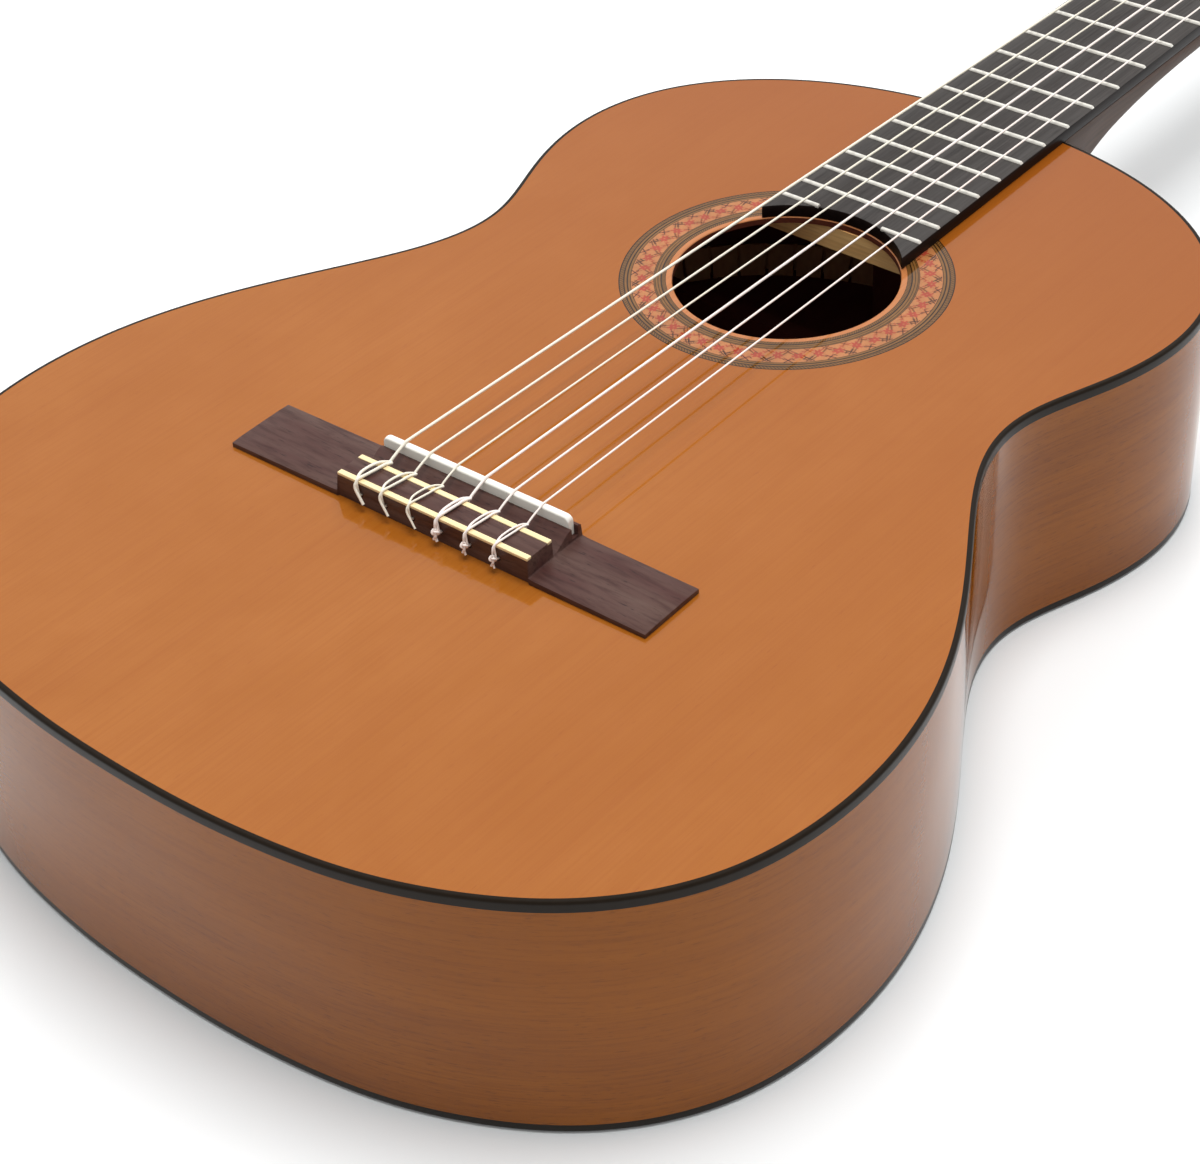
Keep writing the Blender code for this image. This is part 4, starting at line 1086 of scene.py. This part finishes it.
def wing(t):
    n = len(CENTRE)
    out = []
    for i in range(n):
        u = -1 + 2 * i / (n - 1)
        y = (BRIDGE_Y0 + BRIDGE_Y1) / 2 + u * (BRIDGE_Y1 - BRIDGE_Y0) / 2
        z = BR_Z + (t - BR_Z) * (1 - 0.10 * u ** 4)
        if i in (0, n - 1):
            z = BR_Z
        if i in (1, n - 2):
            y = BRIDGE_Y0 + 0.02 if i == 1 else BRIDGE_Y1 - 0.02
            z = BR_Z + (t - BR_Z) * 0.86
        out.append((y, z))
    return out


stations = [(-BRIDGE_X, wing(2.0)), (-80, wing(2.15)), (-66, wing(2.3)), (-54, wing(2.45)), (TIE_X0 - 3, wing(2.6)),
            (TIE_X0 - 1.2, wing(2.8)), (TIE_X0 - 0.3, wing(3.0)), (TIE_X0, CENTRE), (TIE_X1, CENTRE), (TIE_X1 + 0.3, wing(3.0)),
            (TIE_X1 + 1.2, wing(2.8)), (TIE_X1 + 3, wing(2.6)), (56, wing(2.45)), (68, wing(2.3)), (80, wing(2.15)),
            (BRIDGE_X, wing(2.0))]
br = raw_object('bridge_v', *askew(loft([[(x, y, z) for y, z in sec] for x, sec in stations])))
cutters = [raw_object('c3', *askew(box(-50, 52, SADDLE_Y - 1.45, SADDLE_Y + 1.45, 3.9, 20)))]
cutters.append(raw_object('c4', *askew(merged([lathe([(136, 1.0), (154.4, 1.0)], 16, 'Y', (string_x_saddle(k), 0, TIE_Z))
                                               for k in range(1, 7)]))))
cut(br, cutters)
bevel(br, 0.25, 2, 40)
dress(br, M_BRIDGE, rep=['bridge'], angle=35)

# the saddle: rounded top, rounded shoulders at its ends
hs, x_lo, x_hi, RC = 1.43, TIE_X0 + 0.7, TIE_X1 - 1.4, 2.2


def saddle_ring(x, top, half):
    prof = [(-half, 3.95), (half, 3.95), (half, top - 0.9)]
    prof += [(half * math.cos(a), top - 0.9 + 0.9 * math.sin(a)) for a in np.linspace(0.25, math.pi - 0.25, 9)]
    prof += [(-half, top - 0.9)]
    return slant([(x, SADDLE_Y + dy, z) for dy, z in prof])


rings = []
shoulder = [(RC * (1 - math.cos(b)), RC * (1 - math.sin(b))) for b in np.linspace(0, math.pi / 2, 8)]
for i, (dx, dz) in enumerate(shoulder):
    rings.append(saddle_ring(x_lo + dx, SADDLE_TOP - dz, hs - (0.3, 0.1, 0.03, 0, 0, 0, 0, 0)[i]))
for x in np.linspace(x_lo + RC + 2, x_hi - RC - 2, 24):
    rings.append(saddle_ring(x, SADDLE_TOP, hs))
for i, (dx, dz) in enumerate(shoulder[::-1]):
    rings.append(saddle_ring(x_hi - dx, SADDLE_TOP - dz, hs - (0.3, 0.1, 0.03, 0, 0, 0, 0, 0)[7 - i]))
piece('saddle_v', loft(rings), M_BONE, rep=['saddle'], angle=45)

for nm, y0, y1 in (('tie_inlay_rear', 140.9, 143.2), ('tie_inlay_front', 151.3, 153.55)):
    ob = raw_object(nm + '_v', *askew(box(TIE_X0 + 0.1, TIE_X1 - 0.1, y0, y1, 8.62, 9.8)))
    bevel(ob, 0.28, 2, 40)
    dress(ob, M_CREAM, rep=[nm])


# =====================================================================
# Strings with their ties at the bridge
# =====================================================================
def tie_loop(xs, r, bass):
    """The string's own end: out of the back of the tie block, over it, round
    the standing part at the front and back over to be trapped at the rear."""
    top = 9.8 + r + 0.05
    sp = 1.0 if bass else 0.6
    loop = [(0, 142.0, TIE_Z), (0, 140.8, TIE_Z), (-0.15, 140.2, 5.4), (-0.5, 140.15, 7.4), (-0.8, 140.3, 9.1),
            (-1.1, 141.4, top), (-2.3, 144.6, top + 0.2), (-2.1, 148.8, top + 0.25), (-1.1, 152.4, top + 0.1),
            (-0.35, 154.4, 9.9), (0.5, 155.8, 9.3), (1.35, 155.7, 9.3), (1.45, 154.3, 9.95), (1.1, 152.6, top),
            (0.8, 149.2, top + 0.15), (0.05, 145.0, top + 0.15), (-0.7, 141.6, top), (-1.1, 140.1, 9.3), (-0.95, 139.5, 8.2)]
    path = [(xs + dx * (sp if 141 < y < 158 else 0.8), y, z) for dx, y, z in loop]
    parts = []
    if bass:
        parts.append(tube(slant(curve(path + [(xs - 0.1, 139.2, 7.0), (xs + 1.5, 138.9, 5.1), (xs + 3.2, 138.6, 3.0)], 7)), r, 10))
    else:
        parts.append(tube(slant(curve(path + [(xs - 0.7, 139.3, 6.8), (xs - 0.5, 139.1, 6.2)], 7)), r, 10))
        # a small overhand knot with a cut end below it
        kx, ky, kz = xs - 0.4, 138.9, 5.0
        a = np.linspace(0, 2 * np.pi, 60)
        kn = np.stack([kx + 0.95 * (np.sin(a) + 2 * np.sin(2 * a)) / 3 * 1.2,
                       ky + 0.6 * np.sin(3 * a), kz + 1.15 * (np.cos(a) - 2 * np.cos(2 * a)) / 3 * 1.25], 1)
        parts.append(tube(slant(kn), r * 1.05, 8))
        parts.append(tube(slant(curve([(kx - 0.3, ky, kz + 0.6), (kx + 0.1, ky - 0.2, kz - 1.3), (kx + 0.7, ky - 0.4, kz - 2.9)], 6)), r, 8))
        parts.append(tube(slant(curve([(kx + 0.3, ky, kz - 0.3), (kx - 0.2, ky - 0.3, kz - 1.6), (kx - 0.5, ky - 0.5, kz - 2.5)], 6)), r, 8))
    return parts


for k in range(1, 7):
    r = STRING_R[k - 1]
    xs, xn = string_x_saddle(k), string_x_nut(k)
    zs = SADDLE_TOP + r + 0.02
    sgn, row, xb = ROLLER_OF[k]
    land = H(sgn * xb, ROLLER_S[row], ROLLER_Z + ROLLER_R + r + 0.02)
    bend = [(xs, 142.0, TIE_Z), (xs, 152.9, TIE_Z), (xs, 154.2, 5.2), (xs, 154.9, 7.2), (xs, 156.2, 8.7), (xs, 159.4, 10.2),
            (xs, 163.2, zs - 0.65), (xs, 164.3, zs - 0.15), (xs, 165.0, zs), (xs, 166.6, zs - 0.03)]
    start = slant(curve(bend, 6))
    xs, y_s = start[-1][0], start[-1][1]
    zn = NUT_TOP + r + 0.05
    mid = np.stack([np.linspace(xs, xn, 60), np.linspace(y_s, NUT_Y + 0.5, 60), np.linspace(zs - 0.03, zn, 60)], 1)[1:]
    end = curve([(xn, NUT_Y + 0.5, zn), (xn, NUT_Y + 3.0, zn - 0.05), (xn, HEAD_Y - 0.6, zn - 0.5), land], 6)[1:]
    path = np.vstack([start, mid, end])
    parts = [tube(path, r * 1.05, 12)] + tie_loop(string_x_saddle(k), r * 1.05, k > 3)
    piece(f'string_{k}_v', merged(parts), M_NYLON if k <= 3 else M_WOUND, rep=[f'string_{k}'],
          angle=60)

# =====================================================================
# Machine heads
# =====================================================================
for sign, tag in ((-1, 'bass'), (1, 'treble')):
    zc = ROLLER_Z

    def bx(x0, x1, *rest):
        a, b = sorted((sign * x0, sign * x1))
        return box(a, b, *rest)
    # plate with rounded, waisted ends, drawn in (s, z) and extruded along x
    out = []
    for s, z in [(38 + 7.6 - 7.6 * math.cos(a), zc + 7.6 * math.sin(a)) for a in np.linspace(-math.pi / 2, math.pi / 2, 13)] + \
            [(142 - 7.6 + 7.6 * math.cos(a), zc + 7.6 * math.sin(a)) for a in np.linspace(math.pi / 2, -math.pi / 2, 13)]:
        out.append((s, z))
    ring0 = [(sign * PLATE_X0, s, z) for s, z in out]
    ring1 = [(sign * PLATE_X1, s, z) for s, z in out]
    pl = raw_object(f'machine_plate_{tag}_v', *loft([ring0, ring1]), head=True)
    cs = []
    for s in ROLLER_S:
        lo, hi = sorted((sign * 30.0, sign * 40.0))
        cs.append(raw_object('c5', *lathe([(lo, BORE_R), (hi, BORE_R)], 24, 'X', (0, s, zc)), head=True))
    cut(pl, cs)
    bevel(pl, 0.25, 2, 50)
    # worm brackets, each with its hole, and the fixing screws, joined to the plate
    extra = []
    for s in ROLLER_S:
        sw = s + WORM_DS
        for z0, z1 in ((zc - 7.0, zc - 5.8), (zc + 5.8, zc + 7.0)):
            tab = raw_object('tab', *bx(PLATE_X1 - 0.1, 46.4, sw - 4.1, sw + 4.1, z0, z1), head=True)
            hole = raw_object('c6', *lathe([(zc - 12, 2.35), (zc + 12, 2.35)], 24, 'Z', (sign * GEAR_X, sw, 0)), head=True)
            cut(tab, [hole])
            bevel(tab, 0.2, 2, 50)
            extra.append(tab)
    for s in (42.5, 69.8, 104.8, 138.0):
        prof = [(PLATE_X1 - 0.1, 2.3), (PLATE_X1 + 0.25, 2.3), (PLATE_X1 + 0.7, 1.9), (PLATE_X1 + 0.95, 1.1), (PLATE_X1 + 1.0, 0.2)]
        extra.append(raw_object('screw', *lathe([(sign * h, r_) for h, r_ in prof], 24, 'X', (0, s, zc)), head=True))
    bm = bmesh.new()
    bm.from_mesh(pl.data)
    for e in extra:
        bm.from_mesh(e.data)
    bm.to_mesh(pl.data)
    bm.free()
    for e in extra:
        me = e.data
        bpy.data.objects.remove(e)
        bpy.data.meshes.remove(me)
    dress(pl, M_GILT, rep=[f'machine_plate_{tag}'], angle=40)

for k in range(1, 7):
    sgn, row, xb = ROLLER_OF[k]
    s0 = ROLLER_S[row]
    # barrel and shaft
    prof = [(4.0, 2.6), (4.3, 3.0), (8.3, 3.0), (8.35, 4.1), (8.7, 4.5), (23.3, 4.5), (23.65, 4.1), (23.7, 3.0), (41.5, 3.0)]
    barrel = lathe([(sgn * h, r_) for h, r_ in prof], 40, 'X', (0, s0, ROLLER_Z))
    ob = raw_object(f'string_roller_{k}_v', *barrel, head=True)
    # gear
    root, tip = GEAR_R - 1.0, GEAR_R + 0.7
    gp = []
    for i in range(GEAR_TEETH):
        a = 2 * math.pi * i / GEAR_TEETH
        for da, rr_ in ((-0.55 / root, root), (-0.42 / GEAR_R, GEAR_R - 0.1), (-0.30 / tip, tip - 0.12), (-0.18 / tip, tip),
                        (0.18 / tip, tip), (0.30 / tip, tip - 0.12), (0.42 / GEAR_R, GEAR_R - 0.1), (0.55 / root, root)):
            gp.append((rr_ * math.cos(a + da), rr_ * math.sin(a + da)))
    g0 = [(sgn * (GEAR_X - GEAR_HALF_T), s0 + a, ROLLER_Z + b) for a, b in gp]
    g1 = [(sgn * (GEAR_X + GEAR_HALF_T), s0 + a, ROLLER_Z + b) for a, b in gp]
    hub = lathe([(sgn * h, r_) for h, r_ in ((GEAR_X + GEAR_HALF_T - 0.2, 2.6), (GEAR_X + GEAR_HALF_T + 0.6, 2.5),
                                             (GEAR_X + GEAR_HALF_T + 1.1, 2.0), (GEAR_X + GEAR_HALF_T + 1.2, 0.6))],
                32, 'X', (0, s0, ROLLER_Z))
    gear = raw_object('gear', *merged([loft([g0, g1]), hub]), head=True)
    # windings of string on the barrel
    r = STRING_R[k - 1]
    turns, pts = 4.0, []
    for t in np.linspace(0, 1, 140):
        a = math.pi / 2 - sgn * 2 * math.pi * turns * t * sgn
        x = sgn * (xb - (2 * r + 0.06) * turns * t * (1 if xb > 12 else -1))
        pts.append((x, s0 + (ROLLER_R + r) * math.cos(a), ROLLER_Z + (ROLLER_R + r) * math.sin(a)))
    piece(f'winding_{k}', tube(np.array(pts), r, 8), M_NYLON if k <= 3 else M_WOUND, body=f'roller_{k}',
          angle=60, head=True)
    bm = bmesh.new()
    bm.from_mesh(ob.data)
    n0 = len(bm.faces)
    bm.from_mesh(gear.data)
    bm.faces.ensure_lookup_table()
    for f in bm.faces[n0:]:
        f.material_index = 1
    bm.to_mesh(ob.data)
    bm.free()
    me = gear.data
    bpy.data.objects.remove(gear)
    bpy.data.meshes.remove(me)
    dress(ob, [M_BARREL, M_BRASS], body=f'roller_{k}', rep=[f'string_roller_{k}'], angle=35)
    for f in list(ob.data.polygons)[n0:]:
        f.material_index = 1

    # knob: shaft, worm thread and button
    sw, xk = s0 + WORM_DS, sgn * GEAR_X
    shaft = lathe([(-15.2, 1.85), (-5.5, 1.85), (-5.45, 2.0), (5.4, 2.0), (5.5, 1.9), (8.0, 1.85), (8.2, 1.6)], 28, 'Z',
                  (xk, sw, ROLLER_Z))
    z0 = PITCH / 2 - 0.75 * PITCH - 0.6 - PITCH
    if not z0 + PITCH * (27 / 12 + 1) < 5.2:
        z0 -= PITCH
    rows = []
    K = 27 / 12.0
    for t in np.linspace(0, K, 110):
        a = 2 * math.pi * t
        fade = max(0.0, min(1.0, t * 3.0, (K - t) * 3.0))
        ring = []
        for v_, top in ((0.02, 0), (0.36, 1), (0.60, 1), (0.84, 1), (1.18, 0), (0.6, -1)):
            rr_ = 2.0 + (1.68 * fade if top == 1 else (-0.25 if top < 0 else -0.02))
            ring.append((xk + rr_ * math.cos(a), sw + rr_ * math.sin(a), ROLLER_Z + z0 + PITCH * t + v_))
        rows.append(ring)
    worm = loft(rows)
    stem = raw_object(f'tuning_knob_{k}_v', *merged([shaft, worm]), head=True)
    rings = []
    for z, rx, ry in ((-14.6, 2.4, 2.4), (-15.0, 2.9, 2.9), (-16.4, 3.4, 3.5), (-17.6, 3.8, 5.2), (-18.6, 4.15, 6.9),
                      (-20.2, 4.4, 8.1), (-22.0, 4.5, 8.6), (-24.5, 4.5, 8.8), (-27.0, 4.4, 8.6), (-28.8, 4.0, 7.7),
                      (-30.0, 3.5, 6.7), (-30.8, 2.7, 5.2), (-31.15, 1.6, 3.2)):
        a = 2 * np.pi * np.arange(40) / 40
        e = 0.85
        rings.append(np.stack([xk + rx * np.sign(np.cos(a)) * np.abs(np.cos(a)) ** e,
                               sw + ry * np.sign(np.sin(a)) * np.abs(np.sin(a)) ** e,
                               np.full(40, ROLLER_Z + z)], 1))
    button = raw_object('button', *loft(rings), head=True)
    bm = bmesh.new()
    bm.from_mesh(stem.data)
    n0 = len(bm.faces)
    bm.from_mesh(button.data)
    bm.faces.ensure_lookup_table()
    for f in bm.faces[n0:]:
        f.material_index = 1
    bm.to_mesh(stem.data)
    bm.free()
    me = button.data
    bpy.data.objects.remove(button)
    bpy.data.meshes.remove(me)
    dress(stem, [M_STEEL, M_PEARL], body=f'knob_{k}', rep=[f'tuning_knob_{k}'], angle=40)
    for f in list(stem.data.polygons)[n0:]:
        f.material_index = 1

# =====================================================================
# Floor, world and lights
# =====================================================================
me = bpy.data.meshes.new('floor')
ang_ = np.linspace(0, 2 * np.pi, 64, endpoint=False)
me.from_pydata([(9 * math.cos(a), 9 * math.sin(a), -0.0004) for a in ang_], [], [tuple(range(64))])
floor = bpy.data.objects.new('floor', me)
bpy.context.scene.collection.objects.link(floor)
mf = Mat('white_floor', (0.85, 0.85, 0.85), 0.7, spec=0.0)
n = mf.noise(mf.coords((3, 3, 3)), 1.0, 2.0)
mf.colour(mf.mix(n, (0.876, 0.896, 0.902), (0.884, 0.904, 0.910)))
mf.b.inputs['Emission Color'].default_value = (1, 1, 1, 1)
mf.b.inputs['Emission Strength'].default_value = 0.03
me.materials.append(mf.m)

# a white room, dimmer towards the horizon
world = bpy.data.worlds.new('world')
bpy.context.scene.world = world
world.use_nodes = True
wt = world.node_tree
bg = wt.nodes['Background']
tc = wt.nodes.new('ShaderNodeTexCoord')
sx = wt.nodes.new('ShaderNodeSeparateXYZ')
rp = wt.nodes.new('ShaderNodeValToRGB')
wt.links.new(tc.outputs['Generated'], sx.inputs[0])
wt.links.new(sx.outputs['Z'], rp.inputs['Fac'])
el = rp.color_ramp.elements
for pos, v in ((0.0, 0.50), (0.42, 0.60), (0.56, 0.76), (0.68, 1.02), (0.85, 1.10), (1.0, 1.0)):
    e = el[0] if pos == 0.0 else el[1] if pos == 1.0 else el.new(pos)
    e.position = pos
    e.color = (v / 1.2, v / 1.2, v / 1.2, 1)
# bright backdrop behind the guitar, the rest of the room greyer
dt = wt.nodes.new('ShaderNodeVectorMath')
dt.operation = 'DOT_PRODUCT'
dt.inputs[1].default_value = (-0.71, 0.70, 0.0)
wt.links.new(tc.outputs['Generated'], dt.inputs[0])
mr = wt.nodes.new('ShaderNodeMapRange')
mr.inputs['From Min'].default_value, mr.inputs['From Max'].default_value = -0.05, 0.35
wt.links.new(dt.outputs['Value'], mr.inputs['Value'])
mx = wt.nodes.new('ShaderNodeMix')
mx.data_type = 'RGBA'
wt.links.new(mr.outputs['Result'], mx.inputs['Factor'])
mx.inputs[6].default_value = (0.37, 0.37, 0.37, 1)
wt.links.new(rp.outputs['Color'], mx.inputs[7])
wt.links.new(mx.outputs[2], bg.inputs['Color'])
bg.inputs['Strength'].default_value = 1.2


def area(name, loc, target, size, power, colour=(1, 1, 1)):
    d = bpy.data.lights.new(name, 'AREA')
    d.shape = 'RECTANGLE'
    d.size, d.size_y = size
    d.energy = power
    d.color = colour
    o = bpy.data.objects.new(name, d)
    bpy.context.scene.collection.objects.link(o)
    o.location = loc
    v = Vector(target) - Vector(loc)
    o.rotation_euler = v.to_track_quat('-Z', 'Y').to_euler()
    o.visible_glossy = False
    return o


area('key_softbox', (0.22, 0.14, 2.85), (0, 0.1, 0.0), (1.4, 1.4), 62)
area('back_softbox', (-1.7, 1.8, 1.9), (0, 0.1, 0.05), (2.0, 1.4), 40)

sc = bpy.context.scene
sc.view_settings.view_transform = 'Standard'
sc.view_settings.look = 'None'
sc.view_settings.exposure = 0.0
sc.view_settings.gamma = 1.0

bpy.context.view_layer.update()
